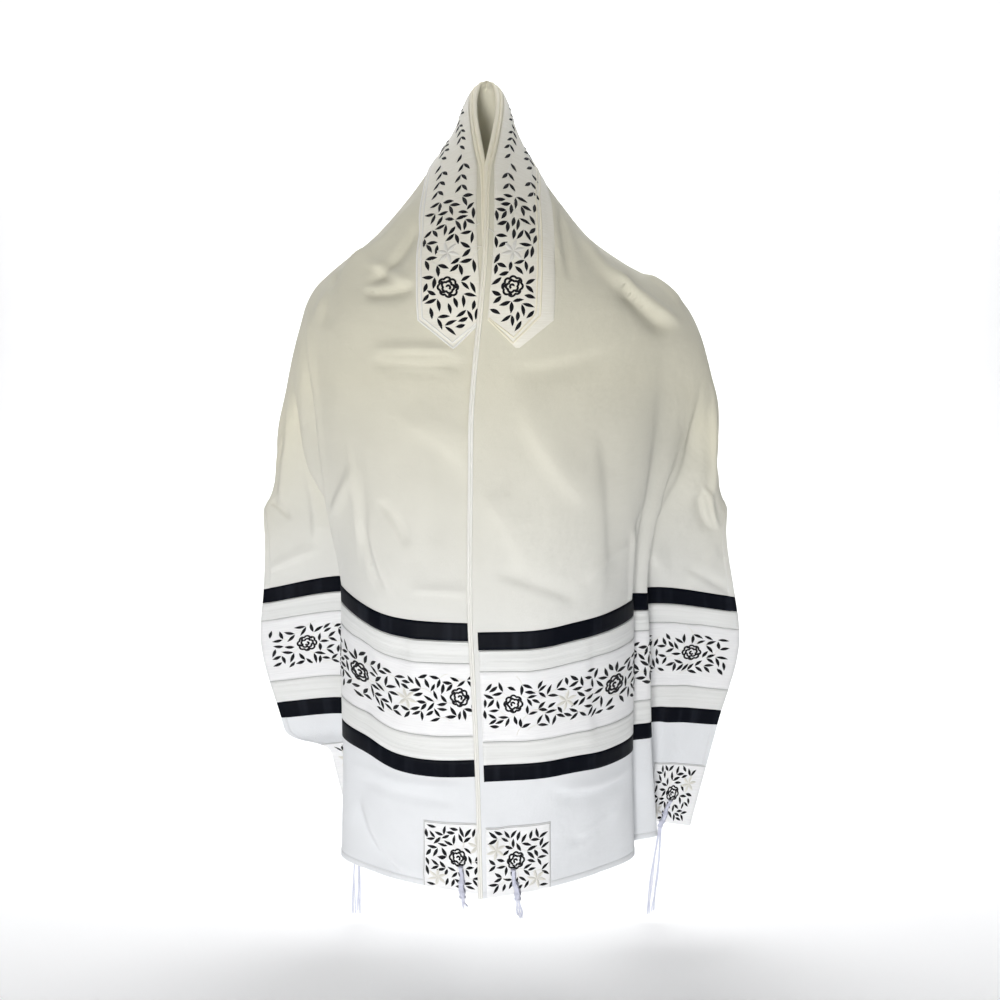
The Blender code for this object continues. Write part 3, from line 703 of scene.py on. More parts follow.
def shade(made, shader, colours, factor, low=0.3, high=0.7):
    """The base colour runs between two colours with a factor."""
    spread = ranged(made, factor, {"From Min": low, "From Max": high})
    first, second = ((*colour, 1.0) for colour in colours)
    mix = add_node(made, "ShaderNodeMix", {"data_type": "RGBA"}, _0=spread, _6=first, _7=second)
    made.node_tree.links.new(mix.outputs[2], shader.inputs["Base Color"])
    return mix.outputs[2]


def raise_by(made, shader, layers):
    """Relief from several factors, each with its depth in metres."""
    normal = None
    for factor, depth in layers:
        bump = add_node(made, "ShaderNodeBump", Height=factor, Distance=depth)
        if normal is not None:
            made.node_tree.links.new(normal, bump.inputs["Normal"])
        normal = bump.outputs[0]
    made.node_tree.links.new(normal, shader.inputs["Normal"])


def vary_roughness(made, shader, factor, low, high):
    """The roughness runs from low to high with a factor."""
    spread = ranged(made, factor, {"To Min": low, "To Max": high})
    made.node_tree.links.new(spread, shader.inputs["Roughness"])


MOTTLE = (0.95, 1.04)
MOTTLE_SIZE = 0.05


def graded(made, shader, colours, start, end):
    """The colour runs from the neck to both ends of the strip, a little mottled."""
    source = add_node(made, "ShaderNodeUVMap", {"uv_map": "flat"})
    parts = add_node(made, "ShaderNodeSeparateXYZ", Vector=source.outputs[0])
    distance = add_node(made, "ShaderNodeMath", {"operation": "ABSOLUTE"}, _0=parts.outputs[0])
    mix = shade(made, shader, colours, distance.outputs[0], start, end)
    spread = ranged(made, speckle(made, MOTTLE_SIZE), {"To Min": MOTTLE[0], "To Max": MOTTLE[1]})
    tint = add_node(made, "ShaderNodeVectorMath", {"operation": "SCALE"}, _0=mix, Scale=spread)
    made.node_tree.links.new(tint.outputs[0], shader.inputs["Base Color"])


def ivory_finish():
    """Fine twill, warm over the shoulders and whiter towards both ends."""
    made, shader = start_finish(
        "ivory_twill", (0.74, 0.72, 0.65), 0.78, Sheen_Weight=0.12, Sheen_Roughness=0.5
    )
    graded(made, shader, ((0.668, 0.645, 0.528), (0.757, 0.777, 0.806)), 0.36, 0.80)
    twill = threads(made, 0.0009, math.radians(58), 0.6)
    grain, slack = speckle(made, 0.0022), speckle(made, 0.035)
    raise_by(made, shader, ((twill, 0.00012), (grain, 0.00012), (slack, 0.0014)))
    vary_roughness(made, shader, speckle(made, 0.004), 0.70, 0.86)
    return made


def satin_finish(name, colours, roughness, slub):
    """A smooth weave with long slubs across the strip."""
    made, shader = start_finish(name, colours[0], roughness, Sheen_Weight=0.2, Sheen_Roughness=0.4)
    slubs = speckle(made, 0.0014, (1.0, 0.06), detail=2.0)
    shade(made, shader, colours, slubs, 0.35, 0.68)
    weave = threads(made, 0.0006)
    raise_by(made, shader, ((weave, 0.00005), (slubs, slub), (speckle(made, 0.03), 0.0006)))
    vary_roughness(made, shader, speckle(made, 0.003, (1.0, 0.15)), roughness - 0.08, roughness + 0.08)
    return made


def ribbon_finish():
    """Black satin with soft lighter streaks across it: painted sheen in its base colour, rougher and a
    little raised there.
    """
    made, shader = start_finish("black_satin_weave", (0.005, 0.006, 0.010), 0.44)
    shader.inputs["Specular IOR Level"].default_value = 0.05
    sheen_streaks = speckle(made, 0.016, (0.04, 1.0), detail=2.0)
    # painted sheen: the base colour runs lighter along the streaks
    shade(made, shader, ((0.0025, 0.0035, 0.0070), (0.0110, 0.0130, 0.0190)), sheen_streaks, 0.50, 0.74)
    raise_by(made, shader, ((threads(made, 0.0007, math.pi / 2), 0.00005), (sheen_streaks, 0.0005)))
    vary_roughness(made, shader, sheen_streaks, 0.40, 0.54)
    return made


def ribbed_finish():
    """Pale ribs along the stripe, a few of them stronger."""
    made, shader = start_finish("pale_ribbed_silk", (0.70, 0.71, 0.69), 0.60, Sheen_Weight=0.1)
    ribs = threads(made, 0.0015, 0.0, 0.35)
    folds = speckle(made, 0.0045, (1.0, 0.03), detail=1.0)
    shade(made, shader, ((0.690, 0.702, 0.695), (0.775, 0.785, 0.780)), folds, 0.30, 0.66)
    grain = speckle(made, 0.0012, (1.0, 0.08))
    raise_by(made, shader, ((ribs, 0.00012), (folds, 0.0010), (grain, 0.00010)))
    return made


def thread_finish(name, colours, roughness, pitch=0.00042, specular=0.5):
    """Stitches side by side along a leaf or a line."""
    made, shader = start_finish(name, colours[0], roughness)
    shader.inputs["Specular IOR Level"].default_value = specular
    stitches = threads(made, pitch, math.radians(14), 0.4)
    shade(made, shader, colours, stitches, 0.1, 0.9)
    raise_by(made, shader, ((stitches, 0.00016), (speckle(made, 0.0008), 0.00010)))
    return made


def edging_finish():
    """A soft folded edging, cream round the neck and whiter down both fronts."""
    made, shader = start_finish("cream_edging", (0.80, 0.77, 0.66), 0.55, Sheen_Weight=0.1)
    graded(made, shader, ((0.800, 0.755, 0.600), (0.800, 0.795, 0.760)), 0.14, 0.42)
    raise_by(made, shader, ((threads(made, 0.0008), 0.00008), (speckle(made, 0.004, (0.3, 1.0)), 0.00025)))
    return made


def floor_finish():
    """A nearly white paper."""
    made, shader = start_finish("pale_floor", (0.93, 0.93, 0.93), 0.9)
    place_in = add_node(made, "ShaderNodeTexCoord")
    mottle = add_node(made, "ShaderNodeTexNoise", Vector=place_in.outputs["Object"], Scale=3.0)
    shade(made, shader, ((0.925, 0.925, 0.928), (0.940, 0.940, 0.940)), mottle.outputs["Fac"])
    return made


FINISHES = {
    "ivory_cloth": ivory_finish(),
    "cream_binding": edging_finish(),
    "collar_cloth": satin_finish(
        "collar_weave", ((0.770, 0.745, 0.655), (0.815, 0.795, 0.715)), roughness=0.55, slub=0.0002
    ),
    "black_satin": ribbon_finish(),
    "ribbed_grey": ribbed_finish(),
    "white_satin": satin_finish(
        "white_weave", ((0.790, 0.796, 0.812), (0.845, 0.850, 0.862)), roughness=0.52, slub=0.0003
    ),
    "white_cord": thread_finish(
        "cord_fibre", ((0.600, 0.620, 0.760), (0.790, 0.800, 0.890)), roughness=0.7, pitch=0.0011
    ),
}
BLACK_THREAD = thread_finish(
    "black_thread", ((0.0025, 0.0025, 0.004), (0.010, 0.010, 0.013)), 0.55, specular=0.22
)
PALE_THREAD = thread_finish("pale_thread", ((0.760, 0.745, 0.690), (0.860, 0.850, 0.800)), 0.42)
# grey thread for the lines round the patches, also for the seam lines painted as shadow
GREY_THREAD_AND_SEAM_SHADE = thread_finish("grey_thread_and_seam_shade", ((0.400, 0.410, 0.410), (0.540, 0.550, 0.550)), 0.6)
WHITE_THREAD = thread_finish("white_thread", ((0.700, 0.710, 0.720), (0.860, 0.860, 0.860)), 0.6)


# The cloth and its edges

CLOTH_S = np.linspace(-HALF_LENGTH, HALF_LENGTH, 521)
# finer over the pleats, between 0.150 and 0.330
CLOTH_V = np.concatenate(
    [np.linspace(0.0, 0.150, 47), np.linspace(0.150, 0.330, 65)[1:], np.linspace(0.330, WIDTH, 37)[1:]]
)


def add_cloth():
    """The one strip of cloth, whole."""
    s, v = np.meshgrid(CLOTH_S, CLOTH_V, indexing="ij")
    finish = FINISHES["ivory_cloth"]
    cloth = add_skin("cloth_drape", s, v, -WALL / 2, WALL / 2, finish, coarse=2)
    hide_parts("shawl_cloth")
    return cloth


# The folded edging seen in section: its distance from the cloth's edge and its height
EDGING_SECTION = (
    (0.0090, 0.0008),
    (0.0090, 0.0016),
    (0.0082, 0.0025),
    (0.0068, 0.0028),
    (0.0055, 0.0024),
    (0.0048, 0.0016),
    (0.0040, 0.0024),
    (0.0022, 0.0031),
    (0.0002, 0.0028),
    (-0.0012, 0.0016),
    (-0.0017, 0.0000),
    (-0.0012, -0.0016),
    (0.0004, -0.0024),
    (0.0040, -0.0020),
    (0.0075, -0.0014),
    (0.0078, -0.0008),
    (-0.0002, -0.0008),
    (-0.0002, 0.0008),
)


EDGING_NARROWS = (0.11, 0.07)
EDGING_LEFT = 0.52  # of its width, down both fronts
EDGING_FLAT = 0.3  # of its height stays where it narrows
EDGING_END = 0.0005
EDGING_STEP = 0.004
PEAK_REACH = 0.014
PEAK_SLIM = 0.62


def add_edging():
    """The rolled double edging, wide round the neck and narrower down both fronts to the hem."""
    section = np.array(EDGING_SECTION)
    stations = spaced(-HALF_LENGTH + EDGING_END, HALF_LENGTH - EDGING_END, EDGING_STEP)
    s, v = np.meshgrid(stations, section[:, 0], indexing="ij")
    share = 1 - (1 - EDGING_LEFT) * fade(np.abs(s), EDGING_NARROWS)
    slim = 1 - PEAK_SLIM * np.exp(-((s / PEAK_REACH) ** 2))
    height = section[:, 1] * (EDGING_FLAT + (1 - EDGING_FLAT) * share) * slim
    v = v * share * slim
    edging = add_sweep("rolled_edging", s, v, height, FINISHES["cream_binding"])
    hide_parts("edge_binding")
    return edging


# The rolled hem in section
HEM_SECTION = (
    (0.0075, 0.0007),
    (0.0072, 0.0011),
    (0.0020, 0.0012),
    (0.0000, 0.0012),
    (-0.0008, 0.0000),
    (0.0000, -0.0013),
    (0.0070, -0.0012),
    (0.0075, -0.0007),
    (-0.0001, -0.0007),
    (-0.0001, 0.0007),
)
HEM_STEP = 0.005


def add_hems():
    """The narrow rolled hem along the bottom edge and across both ends."""
    section = np.array(HEM_SECTION)
    finish = FINISHES["ivory_cloth"]
    s, inward = np.meshgrid(spaced(-HALF_LENGTH, HALF_LENGTH, HEM_STEP), section[:, 0], indexing="ij")
    height = np.broadcast_to(section[:, 1], s.shape)
    hems = [add_sweep("hem_bottom", s[::-1], WIDTH - inward[::-1], height, finish)]
    for half, side in SIDES.items():
        v, inward = np.meshgrid(spaced(0.0, WIDTH, HEM_STEP), section[:, 0], indexing="ij")
        v, inward = (v, inward) if side > 0 else (v[::-1], inward[::-1])
        height = np.broadcast_to(section[:, 1], v.shape)
        hems.append(
            add_sweep(f"hem_end_{half}", side * (HALF_LENGTH - inward), v, height, finish)
        )
    return hems


TRIM_STEP_U, TRIM_STEP_V = 0.0034, 0.0036
STRIPS = (
    ("ribbon_upper", UPPER_RIBBON, "black_satin"),
    ("ribbed_stripe_upper", UPPER_STRIPE, "ribbed_grey"),
    ("embroidered_band", WHITE_BAND, "white_satin"),
    ("ribbed_stripe_lower", LOWER_STRIPE, "ribbed_grey"),
    ("ribbon_lower", LOWER_RIBBON, "black_satin"),
)


def add_trim(node, side, e_range, v_range, slot):
    """A trimming with rounded edges, between distances from the end hem and from the top edge."""
    u = HALF_LENGTH - lipped(*e_range, TRIM_STEP_U)[::-1]
    s, v = np.meshgrid(side * u, lipped(*v_range, TRIM_STEP_V), indexing="ij")
    if side < 0:
        s, v = s[::-1], v[::-1]
    trim = add_skin(f"{node}_sewn", s, v, ON_CLOTH, lip_height(s.shape), FINISHES[slot])
    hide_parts(node)
    return trim


def add_trims():
    """The ribbons, stripes and bands of both halves, and the four corner patches."""
    trims = []
    for half, side in SIDES.items():
        for name, e_range, slot in STRIPS:
            trims.append(add_trim(f"{name}_{half}", side, e_range, (COLLAR_START, WIDTH), slot))
        for corner, v_range in (
            ("front", (COLLAR_START, PATCH_WIDE)),
            ("side", (WIDTH - SIDE_PATCH_WIDE, WIDTH)),
        ):
            node = f"corner_patch_{corner}_{half}"
            trims.append(add_trim(node, side, (0.0, PATCH_TALL), v_range, "white_satin"))
    return trims


def collar_reach(v):
    """How far the collar band runs down each front, with a point in its middle."""
    half_wide = np.where(v < COLLAR_MIDDLE, COLLAR_MIDDLE - COLLAR_START, COLLAR_OUTER - COLLAR_MIDDLE)
    return COLLAR_CORNER + (COLLAR_TIP - COLLAR_CORNER) * (1 - np.abs(v - COLLAR_MIDDLE) / half_wide)


COLLAR_STEP = 0.0115  # as a share of its reach


def add_collar():
    """The collar band, from one point round the neck to the other."""
    across = lipped(COLLAR_START, COLLAR_OUTER, TRIM_STEP_V)
    share, v = np.meshgrid(spaced(-1.0, 1.0, COLLAR_STEP), across, indexing="ij")
    s = share * collar_reach(v)
    height = lip_height(s.shape)
    collar = add_skin("collar_sewn", s, v, ON_CLOTH, height, FINISHES["collar_cloth"])
    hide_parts("collar_band")
    return collar


RIGHT_MARGIN = 0.0130  # of plain collar outside the piping on the right front
PIPING_INSETS = (0.0010, 0.0052)
PIPING_WIDTHS = (0.0021, 0.0017)
PIPING_RISE = 0.0010
PIPING_STEP = 0.003
MARGIN_FROM, MARGIN_WHOLE = 0.060, 0.160  # where the margin starts along the collar, and where it is whole


def collar_corners(inset, margin):
    """The corners of a piping on one collar front, from the neck edge round the point and up, as (u, v)."""
    outer = COLLAR_OUTER - inset
    return (
        (COLLAR_CORNER - 0.35 * inset, COLLAR_START + 0.0008),
        (COLLAR_TIP - 1.35 * inset - 0.4 * margin, COLLAR_MIDDLE - 0.4 * margin),
        (COLLAR_CORNER - 0.5 * inset - 0.3 * margin, outer - margin),
        (MARGIN_WHOLE, outer - margin),
        (MARGIN_FROM, outer),
    )


def add_piping():
    """Two thin pipings frame the collar band on its outer edge and round both points."""
    sewn = Sewn()
    for inset, width in zip(PIPING_INSETS, PIPING_WIDTHS):
        corners = list(collar_corners(inset, RIGHT_MARGIN))
        corners += [(-u, v) for u, v in reversed(collar_corners(inset, 0.0))]
        path = []
        for (s0, v0), (s1, v1) in zip(corners, corners[1:]):
            count = max(2, round(math.hypot(s1 - s0, v1 - v0) / PIPING_STEP))
            path += [(s0 + (s1 - s0) * i / count, v0 + (v1 - v0) * i / count) for i in range(count)]
        sewn.add_line(path + [corners[-1]], width, PIPING_RISE, WORK_FOOT)
    return sewn.drape("collar_piping", FINISHES["cream_binding"], "cream_binding")


# Embroidery on flat beds: across from the top edge (v) and up from the end hem (e)

LEAF_GAP = 0.0004
LEAF_RISE = 0.0008
# Places along a leaf and radii by its width
LEAF_CIRCLES = ((-1, 0.30), (-0.5, 0.44), (0, 0.5), (0.5, 0.44), (1, 0.30))
SPRAY = 0.62
ROSE_RADIUS = 0.0112
ROSE_THREAD, ROSE_RISE = 0.0025, 0.0009
ROSE_RINGS = ((0.84, 0.17, 8, 0.0), (0.50, 0.15, 5, 0.6))  # radius, depth and number of scallops, and turn
STAR_RADIUS = 0.0124
STAR_PETALS = 6
PETAL_WIDE, PETAL_RISE, PETAL_OUT = 0.0046, 0.0010, 0.52
STEM_WIDE, STEM_RISE, STEM_BOW = 0.0007, 0.0004, 0.0012

# The white band
BAND_MIDDLE = 0.2275
BAND_HALF = 0.0262
BAND_V = (0.0135, WIDTH - 0.010)
MOTIF_START, MOTIF_PITCH, MOTIF_COUNT = 0.046, 0.060, 7
MOTIF_ZIGZAG = 0.002

# A corner patch, in from its outer edge and up from the hem
ROSE_UP = 0.043
ROSE_IN = 0.046
PATCH_STARS = ((0.022, 0.058), (0.071, 0.016))
PATCH_EDGES_V = (0.0125, 0.003)
PATCH_EDGES_E = (0.0045, 0.0035)
CORDS_DOWN, CORDS_ROOM = 0.005, 0.004

# The dense field of the collar
FIELD_START = 0.170
FIELD_ROSE, FIELD_STAR = 0.266, 0.230
FIELD_EDGES = (0.0048, 0.0020)


class Bed:
    """A field of leaves round its roses and stars, laid out at random but the same each time."""

    def __init__(self, seed, inside, flow, roses=(), stars=()):
        self.random = random.Random(seed)
        self.inside, self.flow, self.roses, self.stars = inside, flow, roses, stars
        self.leaves, self.stems = [], []
        self.taken = [(*spot, ROSE_RADIUS + 0.0004) for spot in roses]
        self.taken += [(*spot, 0.68 * STAR_RADIUS) for spot in stars]

    def circles(self, v, e, angle, length, width):
        """The room that a leaf takes, as circles along it."""
        reach = length / 2 - width / 3
        spots = [(share * reach, radius * width) for share, radius in LEAF_CIRCLES]
        return [(v + d * math.cos(angle), e + d * math.sin(angle), r) for d, r in spots]

    def free(self, circles):
        """Whether circles lie inside the field and clear of all that is there."""
        if not all(self.inside(v, e) for v, e, _ in circles):
            return False
        taken_v, taken_e, taken_r = np.array(self.taken).T
        for v, e, r in circles:
            if (np.hypot(taken_v - v, taken_e - e) < taken_r + r + LEAF_GAP).any():
                return False
        return True

    def try_leaves(self, leaves):
        """Take the leaves if all of them have room."""
        circles = [self.circles(*leaf) for leaf in leaves]
        if not all(self.free(each) for each in circles):
            return False
        self.leaves += leaves
        self.taken += [circle for each in circles for circle in each]
        return True

    def grow(self, v_range, e_range, pairs, singles, length, width):
        """Pairs of leaves that open along the flow, then single leaves in the room that is left."""
        for attempt in range(pairs + singles):
            v, e = self.random.uniform(*v_range), self.random.uniform(*e_range)
            way = self.flow(v, e) + self.random.uniform(-0.5, 0.5)
            size = length * self.random.uniform(0.86, 1.1)
            thick = width * self.random.uniform(0.9, 1.1)
            if attempt < pairs:
                apart = SPRAY * self.random.uniform(0.8, 1.2)
                out = 0.56 * size
                leaves = [
                    (v + out * math.cos(turned), e + out * math.sin(turned), turned, size, thick)
                    for turned in (way - apart, way + apart)
                ]
                if self.try_leaves(leaves):
                    back = size * 0.9
                    root = (v - back * math.cos(way), e - back * math.sin(way))
                    self.stems.append((*root, way, back + 0.001))
            else:
                turn = self.random.choice((-1, 1)) * self.random.uniform(0.2, 0.9)
                self.try_leaves([(v, e, way + turn, size * 0.94, thick)])


def rose_lines(v, e, radius, turn=0.0):
    """A rose in outline: two scalloped rings, petals between them and a curl at the heart."""
    angles = np.linspace(0, 2 * math.pi, 60, endpoint=False)
    rings = []
    for reach, lobe, count, shift in ROSE_RINGS:
        scallop = np.abs(np.cos(count / 2 * (angles + shift + turn))) ** 0.7 - 0.6
        rings.append((angles, radius * (reach + 0.04 * np.sin(2 * angles + turn) + lobe * scallop), True))
    for k in range(5):
        start = turn + k * 2 * math.pi / 5 + 0.35 + 0.2 * math.sin(3 * k)
        rings.append((start + np.linspace(0, 0.5, 8), radius * np.linspace(0.52, 0.80, 8), False))
    rings.append((turn + np.linspace(0, 4.2, 16), radius * np.linspace(0.10, 0.24, 16), False))
    return [(np.stack([v + r * np.cos(a), e + r * np.sin(a)], -1), closed) for a, r, closed in rings]


def sew_bed(name, bed, half):
    """The leaves, roses, stars and stems of a bed, on one half."""
    side = SIDES[half]
    black, pale = Sewn(), Sewn()

    def on_cloth(points):
        points = np.asarray(points)
        return np.stack([side * (HALF_LENGTH - points[:, 1]), points[:, 0]], -1)

    def cloth_angle(angle):
        return math.atan2(math.cos(angle), -side * math.sin(angle))

    for v, e, angle, length, width in bed.leaves:
        s = side * (HALF_LENGTH - e)
        black.add_leaf(s, v, cloth_angle(angle), length, width, LEAF_RISE, WORK_FOOT)
    for k, (v, e) in enumerate(bed.roses):
        for line, closed in rose_lines(v, e, ROSE_RADIUS, 0.5 * k):
            path = on_cloth(line)[:: int(side)]
            black.add_line(path, ROSE_THREAD, ROSE_RISE, WORK_FOOT, closed)
    for k, (v, e) in enumerate(bed.stars):
        for petal in range(STAR_PETALS):
            angle = petal * 2 * math.pi / STAR_PETALS + 0.3 + 0.4 * k
            out = PETAL_OUT * STAR_RADIUS
            s = side * (HALF_LENGTH - (e + out * math.sin(angle)))
            at_v, turned = v + out * math.cos(angle), cloth_angle(angle)
            pale.add_leaf(s, at_v, turned, STAR_RADIUS, PETAL_WIDE, PETAL_RISE, WORK_FOOT)
    for v, e, way, length in bed.stems:
        shares = np.linspace(0, 1, 6)
        along, bow = shares * length, STEM_BOW * np.sin(math.pi * shares)
        line_v = v + along * math.cos(way) - bow * math.sin(way)
        line_e = e + along * math.sin(way) + bow * math.cos(way)
        line = np.stack([line_v, line_e], -1)
        pale.add_line(on_cloth(line), STEM_WIDE, STEM_RISE, WORK_FOOT + 0.0001)
    return [
        black.drape(f"{name}_black_{half}", BLACK_THREAD, "black_satin"),
        pale.drape(f"{name}_pale_{half}", PALE_THREAD, "cream_binding"),
    ]


def band_bed(seed):
    """The field of a white band, with roses and stars by turns and a ragged edge."""
    motifs = [
        (MOTIF_START + MOTIF_PITCH * k, BAND_MIDDLE + MOTIF_ZIGZAG * (-1) ** k) for k in range(MOTIF_COUNT)
    ]

    def inside(v, e):
        ragged = 0.0018 * math.sin(240 * v) + 0.0012 * math.sin(97 * v)
        return BAND_V[0] < v < BAND_V[1] and abs(e - BAND_MIDDLE) < BAND_HALF + ragged

    def flow(v, e):
        lean = 0.75 * math.sin(2 * math.pi * v / 0.085 + 0.6) * (1 if e > BAND_MIDDLE else -1)
        return lean + (math.pi if math.sin(2 * math.pi * v / 0.12 + 0.9) > 0 else 0.0)

    bed = Bed(seed, inside, flow, motifs[::2], motifs[1::2])
    e_range = (BAND_MIDDLE - BAND_HALF - 0.004, BAND_MIDDLE + BAND_HALF + 0.004)
    bed.grow((0.010, WIDTH - 0.006), e_range, pairs=3000, singles=6000, length=0.0124, width=0.0044)
    return bed


def patch_bed(seed, edge, sign):
    """A corner patch; edge is its outer edge and sign the way in from there."""
    rose = (edge + sign * ROSE_IN, ROSE_UP)
    stars = tuple((edge + sign * inward, up) for inward, up in PATCH_STARS)
    wide = PATCH_WIDE if sign > 0 else SIDE_PATCH_WIDE
    near, far = sorted((edge + sign * PATCH_EDGES_V[0], edge + sign * (wide - PATCH_EDGES_V[1])))

    def inside(v, e):
        if math.hypot(v - rose[0], e - (HOLE_UP - CORDS_DOWN)) < CORDS_ROOM:
            return False
        return near < v < far and PATCH_EDGES_E[0] < e < PATCH_TALL - PATCH_EDGES_E[1]

    def flow(v, e):
        return math.atan2(e - rose[1], v - rose[0]) + 0.7 * math.sin(90 * (v + e))

    bed = Bed(seed, inside, flow, (rose,), stars)
    e_range = (0.0, PATCH_TALL)
    bed.grow((near, far), e_range, pairs=1400, singles=3000, length=0.0122, width=0.0044)
    return bed


def collar_bed(seed, margin, rose_v, near):
    """The dense field on the lower half of a collar front, inside its inner piping."""
    start, tip, corner = collar_corners(PIPING_INSETS[1], margin)[:3]
    frame_v, frame_u = (start[1], tip[1], corner[1]), (start[0], tip[0], corner[0])

    def inside(v, e):
        end = np.interp(v, frame_v, frame_u) - FIELD_EDGES[0]
        return FIELD_START < HALF_LENGTH - e < end and near < v < corner[1] - FIELD_EDGES[1]

    def flow(v, e):
        return -math.pi / 2 + 1.1 * math.sin(75 * e + 1.0) * (1 if v > rose_v else -1)

    rose, star = (rose_v, HALF_LENGTH - FIELD_ROSE), (rose_v - 0.001, HALF_LENGTH - FIELD_STAR)
    bed = Bed(seed, inside, flow, (rose,), (star,))
    e_range = (HALF_LENGTH - COLLAR_TIP, HALF_LENGTH - 0.168)
    bed.grow((near, corner[1]), e_range, pairs=1400, singles=3200, length=0.0124, width=0.0046)
    return bed


VINES = ((0.0265, 0.0), (0.0525, 0.5))  # where each vine runs from the top edge, and its shift
VINE_REACH = 0.164
VINE_WAVE, VINE_PITCH = 0.0018, 0.040
VINE_WIDE, VINE_RISE = 0.0008, 0.0004
VINE_STEP = 0.003
VINE_PAIRS = 27
VINE_SPRAY = 0.72
VINE_LEAF_LONG, VINE_LEAF_WIDE = 0.0106, 0.0042
VINE_LEAF_OUT = (0.0050, 0.0052)


def vine_line(line_v, shift, marks):
    """Where a vine runs from the top edge, at marks along the cloth."""
    return line_v + VINE_WAVE * np.sin(2 * math.pi * marks / VINE_PITCH + shift)


def sew_neck_vines():
    """Two slim leaf vines run round the neck between the dense fields of the collar."""
    black, pale = Sewn(), Sewn()
    for line_v, shift in VINES:
        marks = spaced(-VINE_REACH, VINE_REACH, VINE_STEP)
        line = np.stack([marks, vine_line(line_v, shift, marks)], -1)
        pale.add_line(line, VINE_WIDE, VINE_RISE, WORK_FOOT)
        for k in range(VINE_PAIRS):
            mark = -VINE_REACH + 2 * VINE_REACH * (k + 0.5 + 0.25 * shift) / VINE_PAIRS
            spot = vine_line(line_v, shift, mark)
            ahead = 0.0 if mark > 0 else math.pi
            for turn in (-VINE_SPRAY, VINE_SPRAY):
                if (k + (turn > 0)) % 5 == 4:
                    continue
                angle = ahead + turn
                s = mark + VINE_LEAF_OUT[0] * math.cos(angle)
                v = spot + VINE_LEAF_OUT[1] * math.sin(angle)
                black.add_leaf(s, v, angle, VINE_LEAF_LONG, VINE_LEAF_WIDE, LEAF_RISE, WORK_FOOT)
    return [
        black.drape("neck_vine_black", BLACK_THREAD, "black_satin"),
        pale.drape("neck_vine_pale", PALE_THREAD, "cream_binding"),
    ]


# Stitches, and seam lines drawn in grey as painted shadow along the seams

STITCH_LONG, STITCH_PITCH = 0.0022, 0.0032
STITCH_WIDE, STITCH_RISE = 0.0005, 0.0003
SEAM_SHADE_WIDE, SEAM_SHADE_RISE = 0.0007, 0.0003
BORDER_WIDE, BORDER_RISE = 0.0009, 0.0004
BORDER_IN = 0.0013
HEM_ROW = 0.0062
HEM_STITCH_FOOT = 0.0011
ROW_ENDS = 0.002
# grey lines at the seams of the band and stripes: painted shadow of the seams' folds
SEAM_SHADE_LINES = (WHITE_BAND[0] - 0.0002, WHITE_BAND[1] + 0.0002, UPPER_STRIPE[1] - 0.0008)
STITCH_LINES = (
    UPPER_STRIPE[0] + 0.0018,
    LOWER_STRIPE[1] - 0.0018,
    WHITE_BAND[0] + 0.0016,
    WHITE_BAND[1] - 0.0016,
)


def stitch_rows(sewn, rows, foot):
    """Short straight stitches along each row of (s, v) ends."""
    for (s0, v0), (s1, v1) in rows:
        length = math.hypot(s1 - s0, v1 - v0)
        way = np.array((s1 - s0, v1 - v0)) / length
        for k in range(int(length / STITCH_PITCH)):
            start = np.array((s0, v0)) + way * (k + 0.2) * STITCH_PITCH
            sewn.add_line([start, start + way * STITCH_LONG], STITCH_WIDE, STITCH_RISE, foot)


def add_stitching():
    """Stitches on the stripes, the band and the hems, grey seam lines as painted shadow, and lines round
    the patches.
    """
    trims, hems, seam_shade_and_borders = Sewn(), Sewn(), Sewn()
    trim_rows = []
    hem_rows = [((-HALF_LENGTH, WIDTH - HEM_ROW), (HALF_LENGTH, WIDTH - HEM_ROW))]
    for side in SIDES.values():
        # painted shadow: a grey line along each seam
        for e in SEAM_SHADE_LINES:
            v = spaced(COLLAR_START + 0.0006, WIDTH - 0.0006, 0.004)
            s = np.full_like(v, side * (HALF_LENGTH - e))
            seam_shade_and_borders.add_line(np.stack([s, v], -1), SEAM_SHADE_WIDE, SEAM_SHADE_RISE, WORK_FOOT)
        for e in STITCH_LINES:
            s = side * (HALF_LENGTH - e)
            trim_rows.append(((s, COLLAR_START + ROW_ENDS), (s, WIDTH - ROW_ENDS)))
        end = side * (HALF_LENGTH - HEM_ROW)
        hem_rows.append(((end, PATCH_WIDE + ROW_ENDS), (end, WIDTH - SIDE_PATCH_WIDE - ROW_ENDS)))
        front, back = (COLLAR_START, 1, PATCH_WIDE - COLLAR_START), (WIDTH, -1, SIDE_PATCH_WIDE)
        for edge, sign, wide in (front, back):
            inner = edge + sign * (wide - BORDER_IN)
            top = side * (HALF_LENGTH - PATCH_TALL + BORDER_IN)
            low = side * (HALF_LENGTH - 0.0008)
            for path in (((top, edge + sign * 0.001), (top, inner)), ((top, inner), (low, inner))):
                (s0, v0), (s1, v1) = path
                shares = np.linspace(0, 1, 24)
                line = np.stack([s0 + (s1 - s0) * shares, v0 + (v1 - v0) * shares], -1)
                seam_shade_and_borders.add_line(line, BORDER_WIDE, BORDER_RISE, WORK_FOOT)
    stitch_rows(trims, trim_rows, WORK_FOOT + 0.0001)
    stitch_rows(hems, hem_rows, HEM_STITCH_FOOT)
    return [
        trims.drape("trim_stitches", WHITE_THREAD, "white_satin"),
        hems.drape("hem_stitches", WHITE_THREAD, "ivory_cloth"),
        seam_shade_and_borders.drape("patch_borders_and_seam_shade", GREY_THREAD_AND_SEAM_SHADE, "ribbed_grey"),
    ]


# Tassels

